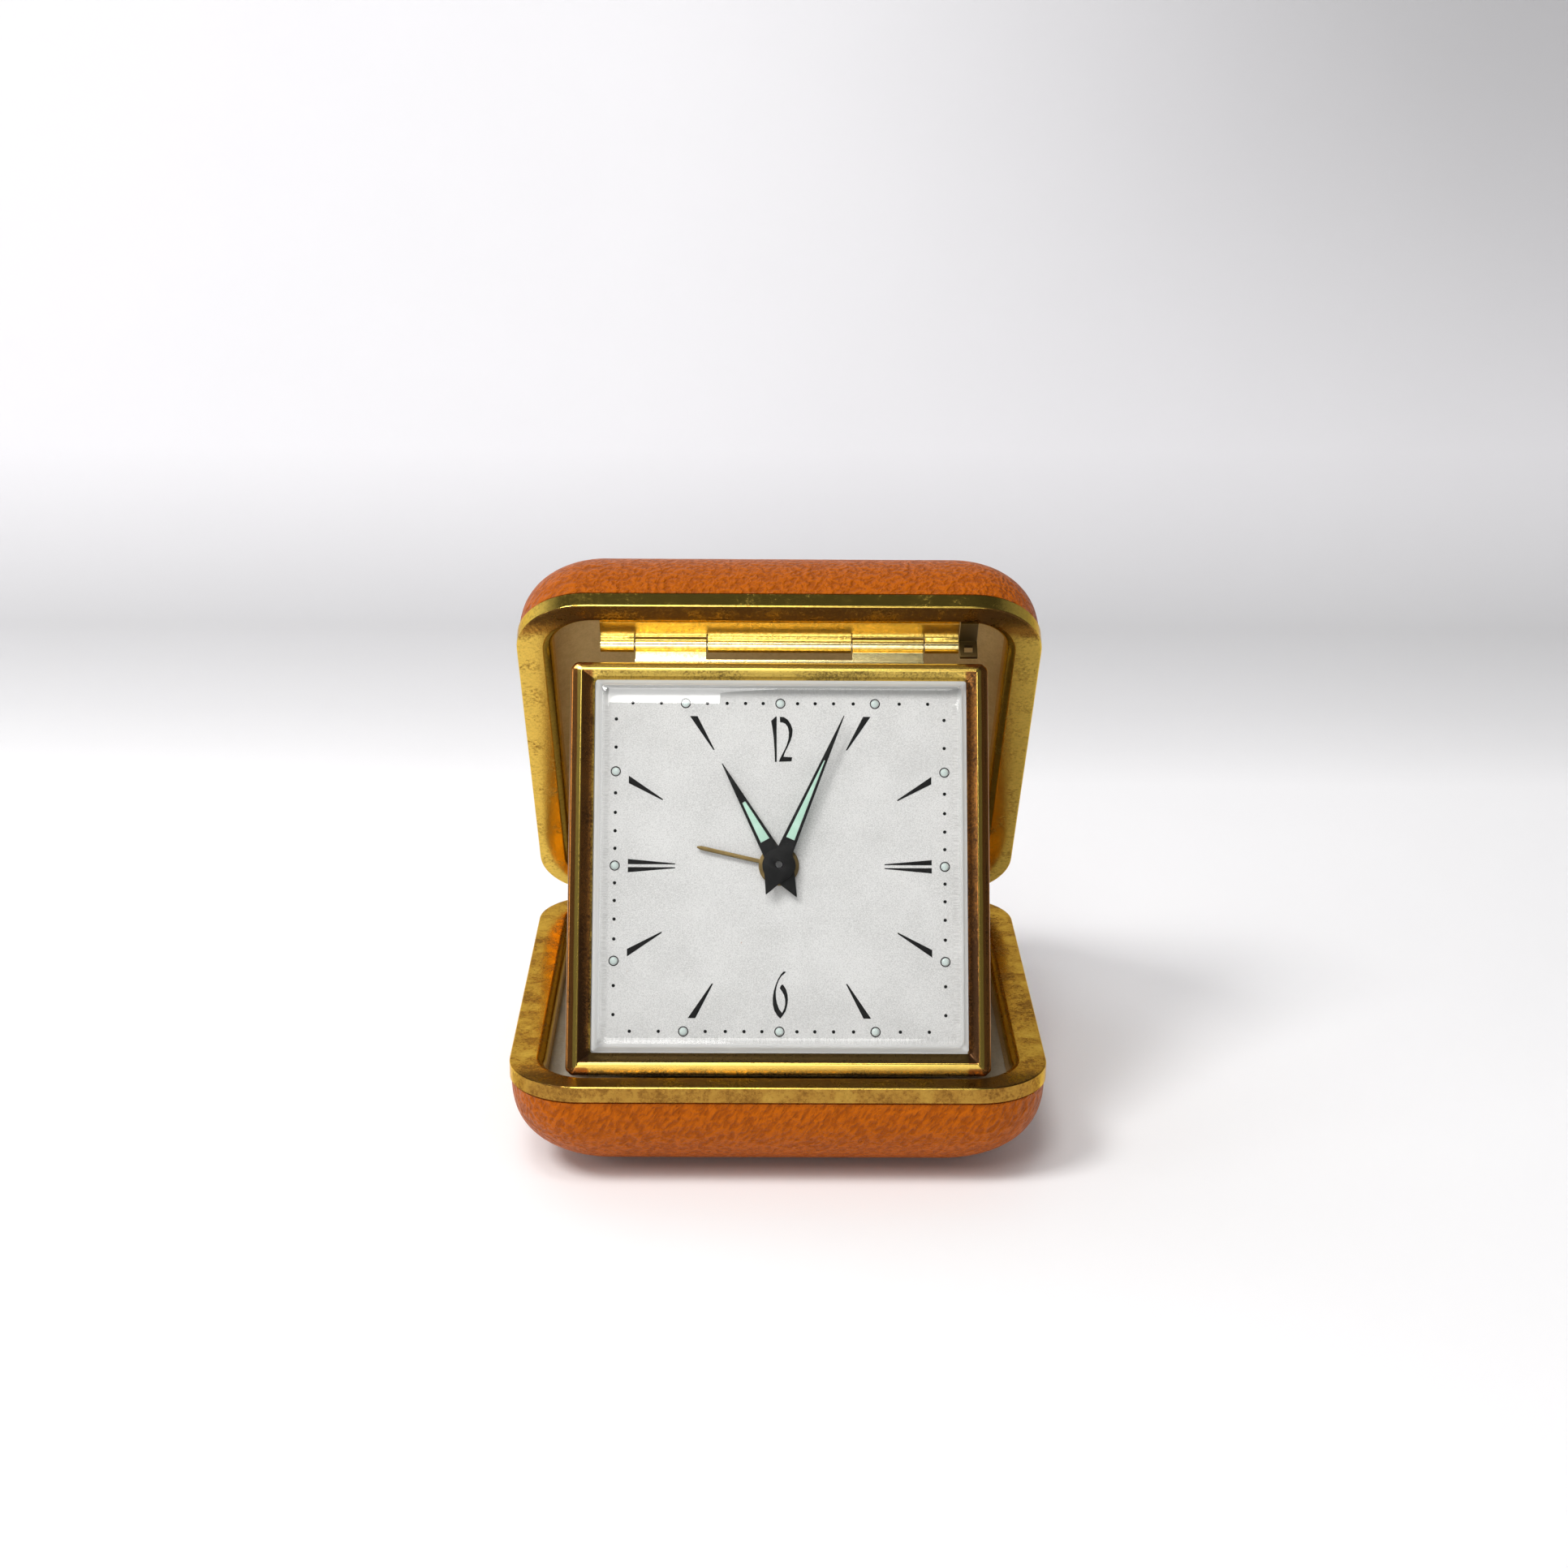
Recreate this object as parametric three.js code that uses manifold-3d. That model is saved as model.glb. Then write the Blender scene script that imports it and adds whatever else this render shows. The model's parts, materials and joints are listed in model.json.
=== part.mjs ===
// Folding travel alarm clock: a leather-covered clamshell whose lid carries the clock on a hinge.
// Millimetres, +Z up, the dial faces -Y, origin at the middle of the base's flat underside.
// The clock stands open: its bezel props the lid and its foot sits inside the base's front rim.
import * as THREE from 'three';
import { mergeVertices } from 'three/addons/utils/BufferGeometryUtils.js';
import Module from 'manifold-3d';

const wasm = await Module();
wasm.setup();

// Case halves
const caseSide = 66;
const caseCorner = 9;
const bandHeight = 2.1;
const rimFace = 3.7;
const rimSheet = 0.7;
const rimEdge = 0.3;
const lidSkirt = 3.2;
const pillowDepth = 12.1;
const pillowSetback = 17;
const pillowPower = 2.4;
const pillowTaper = 0.43;
const leatherSheet = 0.9;
const leatherInset = 0.15;
const panSheet = 0.6;
const liningSheet = 0.5;
const skinGap = 0.1;
const seatGap = 0.3;
const cornerSteps = 4;
const pillowSteps = 6;

// Case hinge, behind the rims
const hingeSetback = 0.45;
const hingeLength = 40;
const knuckleCount = 5;
const hingeKnuckle = 1.1;
const hingePin = 0.5;
const hingeLeaf = 0.45;
const hingeLeafDrop = 1.6;
const knuckleGap = 0.15;
const pinGap = 0.12;
const notchGap = 0.3;

// Clock hinge, between the lid's front wall and the top of the bezel
const pivotInset = 4.1;
const pivotAbove = 2.67;
const pivotBehind = 2.8;
const clockKnuckle = 0.95;
const clockPin = 0.45;
const clockLeaf = 0.5;
const clockLeafReach = 2.4;
const endKnuckle = 4.2;
const middleKnuckleShare = 0.4;
const tabInset = 4.55;
const tabWidth = 2.2;
const tabHeight = 2.4;
const tabWindow = 1.1;

// Where the clock's foot stands in the base
const footGap = 0.5;
const footDrop = 0.2;
const boardGap = 0.8;

// Movement plates and the case round them
const plateSide = 42;
const plateCorner = 4;
const plateSheet = 0.8;
const plateSpace = 4.4;
const motionSpace = 2;
const backSpace = 0.8;
const canGap = 0.9;
const canSheet = 0.6;
const canCorner = 3;
const canFlange = 1.8;
const canBevel = 1;
const bezelStep = 3.025;
const bezelWall = 0.9;
const bezelCorner = 1.6;
const bezelFaceWidth = 2.4;
const bezelRidge = 1.3;
const bezelShoulder = 0.32;
const bezelShoulderDrop = 0.5;
const bezelOuterDrop = 1.5;
const bezelInnerDrop = 0.9;
const bezelDepth = 5;
const bezelLip = 0.5;

// Crystal, dial and hands, from the front backwards
const crystalRise = 0.5;
const crystalSheet = 1.3;
const crystalBevel = 1;
const crystalWall = 1.1;
const crystalFlange = 0.6;
const dialDepth = 3;
const dialSheet = 0.4;
const dialRise = 0.3;
const dialFoot = 0.6;
const dialFootPlace = 15.5;
const handSheet = 0.25;
const handGap = 0.25;
const minuteReach = 20.3;
const minuteTail = 3.7;
const minuteWidth = 1.9;
const minuteHub = 2.2;
const minuteAngle = 23.3;
const hourReach = 14.5;
const hourTail = 4.3;
const hourWidth = 2.1;
const hourHub = 2.4;
const hourAngle = 330.8;
const alarmReach = 10.4;
const alarmWidth = 0.6;
const alarmHub = 2.7;
const alarmAngle = 282.7;
const lumeBorder = 0.36;
const lumeGap = 0.06;

// Concentric tubes at the dial's centre
const centreArbor = 0.45;
const tubeWall = 0.38;
const tubeGap = 0.1;

// Toothed wheels
const toothTip = 0.65;
const toothRoot = 1.1;
const toothTipShare = 0.07;
const toothRootShare = 0.22;
const sawLean = 0.25;
const wheelSheet = 0.4;
const mainModule = 0.24;
const trainModule = 0.21;
const fineModule = 0.17;
const motionModule = 0.3;
const alarmModule = 0.45;
const mainTeeth = 60;
const centrePinionTeeth = 10;
const centreTeeth = 64;
const thirdPinionTeeth = 8;
const thirdTeeth = 60;
const fourthPinionTeeth = 8;
const fourthTeeth = 60;
const escapePinionTeeth = 6;
const escapeTeeth = 15;
const escapeRadius = 2.7;
const escapeToothDepth = 0.8;
const cannonTeeth = 10;
const minuteTeeth = 30;
const minutePinionTeeth = 10;
const hourTeeth = 40;
const settingTeeth = 10;
const alarmWheelTeeth = 40;
const alarmPinionTeeth = 8;
const alarmEscapePinionTeeth = 8;
const alarmEscapeTeeth = 12;
const alarmEscapeRadius = 2.1;

// Arbors: bearings in degrees round the neighbour that each one meshes with
const timeBearing = 212;
const thirdBearing = 100;
const fourthBearing = 0;
const escapeBearing = -10;
const palletBearing = 76;
const palletDistance = 3.5;
const balanceDistance = 2.9;
const minuteBearing = -87;
const alarmSetBearing = 150;
const alarmBearing = -35;
const alarmDistance = 10.8;
const alarmEscapeBearing = 25;
const hammerDistance = 4.1;
const hammerBearing = 79;
const arbor = 0.35;
const windingArbor = 0.8;
const settingArbor = 0.6;
const pivotGap = 0.15;
const stackGap = 0.25;

// Balance, springs and levers
const balanceRadius = 4.5;
const balanceRim = 0.7;
const balanceSpoke = 0.6;
const rollerRadius = 0.75;
const palletArm = 1.5;
const palletSheet = 0.55;
const hairspringOuter = 2.5;
const hairspringInner = 0.9;
const hairspringTurns = 3.5;
const hairspringSheet = 0.1;
const mainspringOuter = 5.5;
const mainspringInner = 1.75;
const mainspringTurns = 5;
const mainspringSheet = 0.25;
const mainspringWidth = 2;
const spiralSteps = 12;
const ratchetTeeth = 16;
const ratchetRadius = 2.9;
const ratchetDepth = 0.55;
const clickReach = 2.6;
const clickWidth = 0.7;
const clickGap = 0.25;
const hammerReach = 7.2;
const hammerArm = 0.8;
const hammerHead = 1.2;
const regulatorReach = 5;
const regulatorWidth = 0.9;
const regulatorSwing = 20;
const regulatorSpare = 2;
const sweepSteps = 4;

// Keys, knobs and screws on the back
const keySpan = 8.4;
const keySheet = 1;
const keyHeight = 1.5;
const keyFoot = 0.5;
const keyHub = 1.5;
const knobRadius = 2.3;
const knobHeight = 1.3;
const knobRibs = 12;
const knobRibDepth = 0.22;
const backGap = 0.15;
const stopPlaceX = 15.5;
const stopPlaceY = -14.5;
const stopTravel = 2.5;
const stopWidth = 1;
const stopButton = 2.4;
const stopHeight = 1.1;
const screwInset = 2.6;
const screwShank = 0.6;
const screwHead = 1.3;
const screwHeadHeight = 0.5;
const screwSlot = 0.3;
const pillarRadius = 1.4;
const roundSides = 12;
const smallSides = 8;
const weldDistance = 1e-5;

const radians = THREE.MathUtils.degToRad;

// Derived sizes
const caseHalf = caseSide / 2;
const halfDepth = bandHeight + pillowDepth;
const hingeY = caseHalf + hingeSetback;
const innerHalf = caseHalf - rimFace;
const plateHalf = plateSide / 2;
const canHalf = plateHalf + canGap + canSheet;
const bezelHalf = canHalf + bezelStep;
const openingHalf = bezelHalf - bezelFaceWidth;
const cavityHalf = bezelHalf - bezelWall;
const pivotY = -innerHalf + pivotInset;
const lidKnuckleOuter = innerHalf - tabInset - tabWidth - knuckleGap;
const lidKnuckleInner = lidKnuckleOuter - endKnuckle;
const lidKnuckleMiddle = middleKnuckleShare * lidKnuckleOuter;

// Depths in the clock, measured back from the bezel's ridge
const crystalBack = crystalSheet - crystalRise;
const minuteFront = crystalBack + 2 * handGap;
const hourFront = minuteFront + handSheet + handGap;
const alarmFront = hourFront + handSheet + handGap;
const dialBack = dialDepth + dialSheet;
const canFront = dialBack + seatGap;
const plateFront = dialBack + motionSpace;
const plateInner = plateFront + plateSheet;
const backInner = plateInner + plateSpace;
const backOuter = backInner + plateSheet;
const canInside = backOuter + backSpace;
const canBack = canInside + canSheet;
const alarmPlane = dialBack + stackGap;
const hourPlane = alarmPlane + wheelSheet + stackGap;
const minutePlane = hourPlane + wheelSheet + stackGap;
const mainPlane = plateInner + stackGap;
const springPlane = mainPlane + wheelSheet + stackGap;
const fourthPlane = mainPlane + wheelSheet + 2 * stackGap;
const escapePlane = fourthPlane + wheelSheet + stackGap;
const balancePlane = escapePlane + wheelSheet + stackGap;
const centrePlane = springPlane + mainspringWidth + stackGap;
const hairspringPlane = balancePlane + wheelSheet + stackGap;
const ratchetPlane = backOuter + stackGap / 2;
const backPlane = canBack + backGap;
const screwEnd = backInner - plateSheet;

// The open triangle: case hinge, clock pivot and the clock's foot fix how far the lid opens
const footY = -innerHalf + footGap;
const pivotReach = hingeY - pivotY;
const footReach = Math.hypot(hingeY - footY, footDrop);
const clockReach = Math.hypot(2 * bezelHalf + pivotAbove, pivotBehind);
const hingeCorner = Math.acos(
  (pivotReach ** 2 + footReach ** 2 - clockReach ** 2) / (2 * pivotReach * footReach),
);
const openAngle = hingeCorner - Math.asin(footDrop / footReach);
const pivotPlaceY = hingeY - pivotReach * Math.cos(openAngle);
const pivotPlaceZ = pivotReach * Math.sin(openAngle);
const reachLean = Math.atan2(pivotPlaceY - footY, pivotPlaceZ + footDrop);
const clockLean = reachLean - Math.atan2(pivotBehind, 2 * bezelHalf + pivotAbove);

// The base's board lies just under the lowest corner of the standing clock
const lowestCorner = -footDrop + bezelStep * Math.cos(clockLean)
  - (canBack - canBevel) * Math.sin(clockLean);
const baseBoardDepth = boardGap - lowestCorner;

// Solids are joined and cut as manifolds
function solid(geometry) {
  const bare = new THREE.BufferGeometry();
  bare.setAttribute('position', geometry.getAttribute('position'));
  bare.setIndex(geometry.index);
  const merged = mergeVertices(bare, weldDistance);
  return new wasm.Manifold(new wasm.Mesh({
    numProp: 3,
    vertProperties: new Float32Array(merged.getAttribute('position').array),
    triVerts: new Uint32Array(merged.index.array),
  }));
}

function toGeometry(manifold) {
  const mesh = manifold.getMesh();
  const geometry = new THREE.BufferGeometry();
  geometry.setAttribute('position', new THREE.BufferAttribute(mesh.vertProperties, 3));
  geometry.setIndex(new THREE.BufferAttribute(mesh.triVerts, 1));
  return geometry;
}

const join = (...pieces) => toGeometry(pieces.map(solid).reduce((sum, piece) => sum.add(piece)));

const cut = (body, ...tools) => toGeometry(
  tools.map(solid).reduce((rest, tool) => rest.subtract(tool), solid(body)),
);

// Rings of points skinned into a closed body, capped at both ends unless they loop
function loft(rings, looped = false) {
  const count = rings[0].length;
  const faces = [];
  const spans = looped ? rings.length : rings.length - 1;
  for (let i = 0; i < spans; i += 1) {
    const lower = i * count;
    const upper = ((i + 1) % rings.length) * count;
    for (let j = 0; j < count; j += 1) {
      const next = (j + 1) % count;
      faces.push(lower + j, lower + next, upper + next, lower + j, upper + next, upper + j);
    }
  }
  const last = (rings.length - 1) * count;
  for (let j = 1; !looped && j < count - 1; j += 1) {
    faces.push(0, j + 1, j, last, last + j, last + j + 1);
  }
  const geometry = new THREE.BufferGeometry();
  const values = rings.flat().flatMap((point) => [point.x, point.y, point.z]);
  geometry.setAttribute('position', new THREE.Float32BufferAttribute(values, 3));
  geometry.setIndex(faces);
  return geometry;
}

// A square with round corners, anticlockwise
function squareOutline(half, radius, steps = cornerSteps) {
  const points = [];
  const straight = half - radius;
  const corners = [[1, 1], [-1, 1], [-1, -1], [1, -1]];
  corners.forEach(([sx, sy], quarter) => {
    for (let i = 0; i <= steps; i += 1) {
      const angle = (quarter + i / steps) * Math.PI / 2;
      points.push(new THREE.Vector2(
        sx * straight + radius * Math.cos(angle),
        sy * straight + radius * Math.sin(angle),
      ));
    }
  });
  return points;
}

const squareRing = (half, radius, z) => squareOutline(half, radius)
  .map((point) => new THREE.Vector3(point.x, point.y, z));

function discOutline(radius, sides = smallSides, x = 0, y = 0) {
  return Array.from({ length: sides }, (unused, i) => new THREE.Vector2(
    x + radius * Math.cos(2 * Math.PI * i / sides),
    y + radius * Math.sin(2 * Math.PI * i / sides),
  ));
}

// A flat piece of the clock between two depths behind the bezel's ridge
function slab(outline, front, back, holes = []) {
  const shape = new THREE.Shape(outline);
  shape.holes = holes.map((hole) => new THREE.Path(hole));
  const geometry = new THREE.ExtrudeGeometry(shape, { depth: back - front, bevelEnabled: false });
  return geometry.translate(0, 0, -back);
}

const rod = (radius, front, back, sides = smallSides) => slab(discOutline(radius, sides), front, back);

const tube = (outer, inner, front, back, sides = roundSides) => slab(
  discOutline(outer, sides), front, back, [discOutline(inner, sides)],
);

function block(x0, x1, y0, y1, z0, z1) {
  const geometry = new THREE.BoxGeometry(x1 - x0, y1 - y0, z1 - z0);
  return geometry.translate((x0 + x1) / 2, (y0 + y1) / 2, (z0 + z1) / 2);
}

// Round stock along X
function barX(radius, x0, x1, y, z, holes = []) {
  const shape = new THREE.Shape(discOutline(radius, roundSides));
  shape.holes = holes.map((hole) => new THREE.Path(discOutline(hole, roundSides)));
  const geometry = new THREE.ExtrudeGeometry(shape, { depth: x1 - x0, bevelEnabled: false });
  return geometry.rotateY(Math.PI / 2).translate(x0, y, z);
}

// A wheel of many fine teeth has one point at each tip and root
function wheelOutline(teeth, module, phase = 0) {
  const tip = module * (teeth / 2 + toothTip);
  const root = module * (teeth / 2 - toothRoot);
  const points = [];
  for (let i = 0; i < teeth; i += 1) {
    const angle = phase + 2 * Math.PI * i / teeth;
    const valley = angle + Math.PI / teeth;
    points.push(new THREE.Vector2(tip * Math.cos(angle), tip * Math.sin(angle)));
    points.push(new THREE.Vector2(root * Math.cos(valley), root * Math.sin(valley)));
  }
  return points;
}

function pinionOutline(teeth, module, phase = 0) {
  const tip = module * (teeth / 2 + toothTip);
  const root = module * (teeth / 2 - toothRoot);
  const pitch = 2 * Math.PI / teeth;
  const flank = [
    [root, -toothRootShare], [tip, -toothTipShare], [tip, toothTipShare], [root, toothRootShare],
  ];
  const points = [];
  for (let i = 0; i < teeth; i += 1) {
    flank.forEach(([radius, share]) => {
      const angle = phase + (i + share) * pitch;
      points.push(new THREE.Vector2(radius * Math.cos(angle), radius * Math.sin(angle)));
    });
  }
  return points;
}

// Saw teeth leaning one way, for escape wheels and ratchets
function sawOutline(teeth, radius, depth) {
  const points = [];
  for (let i = 0; i < teeth; i += 1) {
    const angle = 2 * Math.PI * i / teeth;
    const valley = angle + sawLean * 2 * Math.PI / teeth;
    points.push(new THREE.Vector2(radius * Math.cos(angle), radius * Math.sin(angle)));
    points.push(new THREE.Vector2((radius - depth) * Math.cos(valley), (radius - depth) * Math.sin(valley)));
  }
  return points;
}

// A flat strip wound in a plane, from its outer end inwards
function spiralOutline(outer, inner, turns, sheet) {
  const steps = Math.round(turns * spiralSteps);
  const side = (offset) => Array.from({ length: steps + 1 }, (unused, i) => {
    const angle = 2 * Math.PI * i / spiralSteps;
    const radius = outer + (inner - outer) * i / steps + offset;
    return new THREE.Vector2(radius * Math.cos(angle), radius * Math.sin(angle));
  });
  return [...side(sheet / 2), ...side(-sheet / 2).reverse()];
}

// The phase that puts a gap of the follower opposite a tooth of the driver
function meshPhase(bearing, driverPhase, driverTeeth, followerTeeth) {
  const offset = (driverPhase - bearing) / (2 * Math.PI / driverTeeth);
  return bearing + Math.PI + (0.5 - offset) * 2 * Math.PI / followerTeeth;
}

const meshDistance = (module, teethA, teethB) => module * (teethA + teethB) / 2;

function add(parent, name, geometry, colour, roughness, metalness) {
  const material = new THREE.MeshStandardMaterial({ color: colour, roughness, metalness });
  const mesh = new THREE.Mesh(geometry, material);
  mesh.name = name;
  parent.add(mesh);
}

const gilt = ['#bda24b', 0.3, 1];
const brass = ['#b9953f', 0.35, 1];
const steel = ['#9a9ca0', 0.3, 1];
const bluedSteel = ['#3b4252', 0.35, 1];
const nickel = ['#c9c9c6', 0.28, 1];

function at(parent, x, y, z = 0) {
  const group = new THREE.Group();
  group.position.set(x, y, z);
  parent.add(group);
  return group;
}

const clockModel = new THREE.Group();

// Base half: rim plane at z = 0 of its group, outside downwards, hinge at +y
const baseHalf = at(clockModel, 0, 0, halfDepth);

// Lid: turned about the case hinge, its own half upside down
const lidHinge = at(clockModel, 0, hingeY, halfDepth);
lidHinge.rotation.x = -openAngle;
const lidFrame = at(lidHinge, 0, -hingeY);
const lidHalf = at(lidFrame, 0, 0);
lidHalf.rotation.y = Math.PI;

// Clock: x right, y up the dial, z towards the viewer, about the dial's centre
const clockHinge = at(clockModel, 0, pivotPlaceY, halfDepth + pivotPlaceZ);
clockHinge.rotation.x = Math.PI / 2 - clockLean;
const clockFace = at(clockHinge, 0, -pivotAbove - bezelHalf, pivotBehind);
const movement = at(clockFace, 0, dialRise);

// A half's side draws in as a superellipse from the rim's band to the flat outside
function pillowRing(offset, share) {
  const inset = pillowSetback * (1 - (1 - share ** pillowPower) ** (1 / pillowPower));
  const half = caseHalf - leatherInset - offset - inset;
  const radius = Math.max(caseCorner - leatherInset - offset - pillowTaper * inset, rimEdge);
  return squareRing(half, radius, -bandHeight - (pillowDepth - offset) * share);
}

function pillowShell(outerOffset, innerOffset, topDepth) {
  const shares = Array.from({ length: pillowSteps + 1 }, (unused, i) => (
    Math.sin(i / pillowSteps * Math.PI / 2)
  ));
  const wall = (offset) => {
    const below = shares.filter((share) => bandHeight + (pillowDepth - offset) * share > topDepth);
    const edge = pillowRing(offset, Math.max(0, (topDepth - bandHeight) / (pillowDepth - offset)));
    edge.forEach((point) => point.setZ(-topDepth));
    return [edge, ...below.map((share) => pillowRing(offset, share))];
  };
  return loft([...wall(outerOffset).reverse(), ...wall(innerOffset)]);
}

// A frame swept round the half: profile points are inset from the outer edge and depth under the rim
const rimProfile = (skirt) => [
  [0, bandHeight], [0, rimEdge], [rimEdge, 0], [rimFace - rimEdge, 0], [rimFace, rimEdge],
  [rimFace, skirt], [rimFace - rimSheet, skirt], [rimFace - rimSheet, rimSheet],
  [rimSheet, rimSheet], [rimSheet, bandHeight],
];

function rimFrame(skirt) {
  const rings = rimProfile(skirt).map(([inset, depth]) => (
    squareRing(caseHalf - inset, caseCorner - inset, -depth)
  ));
  const notchEnd = hingeLength / 2 + notchGap;
  const notch = barX(hingeKnuckle + notchGap, -notchEnd, notchEnd, hingeY, 0);
  return cut(loft(rings, true), notch);
}

const panOffset = leatherSheet + skinGap;
const panInner = panOffset + panSheet;

function caseHalfPieces(parent, name, skirt) {
  add(parent, `${name}_rim`, rimFrame(skirt), ...gilt);
  add(parent, `${name}_leather`, pillowShell(0, leatherSheet, bandHeight + skinGap), '#b5621c', 0.55, 0);
  add(parent, `${name}_pan`, pillowShell(panOffset, panInner, rimSheet + skinGap), '#7d7f82', 0.5, 0.9);
}

// Five knuckles share the case hinge: the base has the odd ones and the lid the even ones
const knuckleLength = hingeLength / knuckleCount;

function caseLeaf(first) {
  const leafFace = caseHalf + skinGap;
  const plate = block(
    -hingeLength / 2, hingeLength / 2, leafFace, leafFace + hingeLeaf,
    -hingeLeafDrop - rimEdge, -hingeKnuckle - notchGap / 2,
  );
  const pieces = [plate];
  for (let i = first; i < knuckleCount; i += 2) {
    const x0 = -hingeLength / 2 + i * knuckleLength + knuckleGap;
    const x1 = x0 + knuckleLength - 2 * knuckleGap;
    pieces.push(barX(hingeKnuckle, x0, x1, hingeY, 0));
    pieces.push(block(x0, x1, leafFace, leafFace + hingeLeaf, -hingeLeafDrop, -hingeKnuckle / 2));
  }
  const bore = barX(hingePin + pinGap, -hingeLength, hingeLength, hingeY, 0);
  return cut(join(...pieces), bore);
}

caseHalfPieces(baseHalf, 'base', baseBoardDepth - skinGap);
add(baseHalf, 'base_lining', slab(
  squareOutline(caseHalf - leatherInset - panInner - seatGap, caseCorner - leatherInset - panInner),
  baseBoardDepth, baseBoardDepth + liningSheet,
), '#9c968b', 0.95, 0);
add(baseHalf, 'case_hinge_base_leaf', caseLeaf(0), ...brass);
add(baseHalf, 'case_hinge_pin', barX(hingePin, -hingeLength / 2, hingeLength / 2, hingeY, 0), ...steel);

caseHalfPieces(lidHalf, 'lid', lidSkirt);
const lidLiningOffset = panInner + seatGap;
add(lidHalf, 'lid_lining', pillowShell(
  lidLiningOffset, lidLiningOffset + liningSheet, lidSkirt + skinGap,
), '#6b5c44', 0.95, 0);
add(lidHalf, 'case_hinge_lid_leaf', caseLeaf(1), ...brass);

// Lid leaf of the clock hinge: a flange on the rim's front wall with tongues out to its knuckles
const wallFace = -innerHalf + skinGap;
const tongueTop = rimEdge + skinGap;
const lidKnuckles = [
  [-lidKnuckleOuter, -lidKnuckleInner],
  [-lidKnuckleMiddle, lidKnuckleMiddle],
  [lidKnuckleInner, lidKnuckleOuter],
];

function lidLeaf() {
  const wall = block(-lidKnuckleOuter, lidKnuckleOuter, wallFace, wallFace + clockLeaf, tongueTop, lidSkirt);
  const pieces = lidKnuckles.flatMap(([x0, x1]) => [
    barX(clockKnuckle, x0, x1, pivotY, 0),
    block(x0, x1, wallFace, pivotY, tongueTop, tongueTop + clockLeaf),
  ]);
  const bore = barX(clockPin + pinGap, -caseHalf, caseHalf, pivotY, 0);
  return cut(join(wall, ...pieces), bore);
}

function stopTab() {
  const x0 = lidKnuckleOuter + knuckleGap;
  const x1 = x0 + tabWidth;
  const middle = (x0 + x1) / 2;
  const tongue = block(x0, x1, wallFace, pivotY, tongueTop, tongueTop + clockLeaf);
  const face = block(x0, x1, pivotY - clockLeaf, pivotY, tongueTop - tabHeight, tongueTop + clockLeaf);
  const windowZ = tongueTop - tabHeight / 2;
  const window = block(
    middle - tabWindow / 2, middle + tabWindow / 2, pivotY - 2 * clockLeaf, pivotY + clockLeaf,
    windowZ - tabWindow / 2, windowZ + tabWindow / 2,
  );
  return cut(join(tongue, face), window);
}

add(lidFrame, 'clock_hinge_lid_leaf', lidLeaf(), ...brass);
add(lidFrame, 'clock_hinge_pin', barX(clockPin, -lidKnuckleOuter, lidKnuckleOuter, pivotY, 0), ...steel);
add(lidFrame, 'hinge_stop_tab', stopTab(), ...brass);

// Clock leaf of the hinge: a foot on the bezel's top, with a web up to each knuckle
const clockKnuckles = [
  [-lidKnuckleInner + knuckleGap, -lidKnuckleMiddle - knuckleGap],
  [lidKnuckleMiddle + knuckleGap, lidKnuckleInner - knuckleGap],
];

function clockLeafPlate() {
  const pivotHeight = bezelHalf + pivotAbove;
  const footBottom = bezelHalf + skinGap;
  const foot = block(
    clockKnuckles[0][0], clockKnuckles[1][1], footBottom, footBottom + clockLeaf,
    -pivotBehind - clockLeafReach / 2, -pivotBehind + clockLeafReach / 2,
  );
  const pieces = clockKnuckles.flatMap(([x0, x1]) => [
    barX(clockKnuckle, x0, x1, pivotHeight, -pivotBehind),
    block(x0, x1, footBottom, pivotHeight, -pivotBehind - clockLeaf / 2, -pivotBehind + clockLeaf / 2),
  ]);
  const bore = barX(clockPin + pinGap, -caseHalf, caseHalf, pivotHeight, -pivotBehind);
  return cut(join(foot, ...pieces), bore);
}

add(clockFace, 'clock_hinge_clock_leaf', clockLeafPlate(), ...brass);

// Bezel: a ridged frame with a lip over the crystal and a deep outer wall
const bezelRings = [
  [0, bezelDepth], [0, bezelOuterDrop], [bezelShoulder, bezelShoulderDrop], [bezelRidge, 0],
  [bezelFaceWidth, bezelInnerDrop], [bezelFaceWidth, bezelInnerDrop + bezelLip],
  [bezelWall, bezelInnerDrop + bezelLip], [bezelWall, bezelDepth],
].map(([inset, depth]) => (
  squareRing(bezelHalf - inset, Math.max(bezelCorner - inset, rimEdge), -depth)
));
add(clockFace, 'bezel', loft(bezelRings, true), '#c8a04c', 0.25, 1);

// Crystal: a bevelled front on a wall whose flange sits behind the bezel's lip
const crystalHalf = openingHalf - seatGap / 2;
const flangeFront = bezelInnerDrop + bezelLip + skinGap;
const crystalInside = crystalHalf - crystalWall;
const crystalRings = [
  [crystalInside, crystalBack], [crystalInside, flangeFront + crystalFlange],
  [cavityHalf - seatGap, flangeFront + crystalFlange], [cavityHalf - seatGap, flangeFront],
  [crystalHalf, flangeFront], [crystalHalf, crystalBevel / 2 - crystalRise],
  [crystalHalf - crystalBevel, -crystalRise],
].map(([half, depth]) => squareRing(half, bezelCorner / 2, -depth));
add(clockFace, 'crystal', loft(crystalRings), '#f4f6f4', 0.05, 0);

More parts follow.
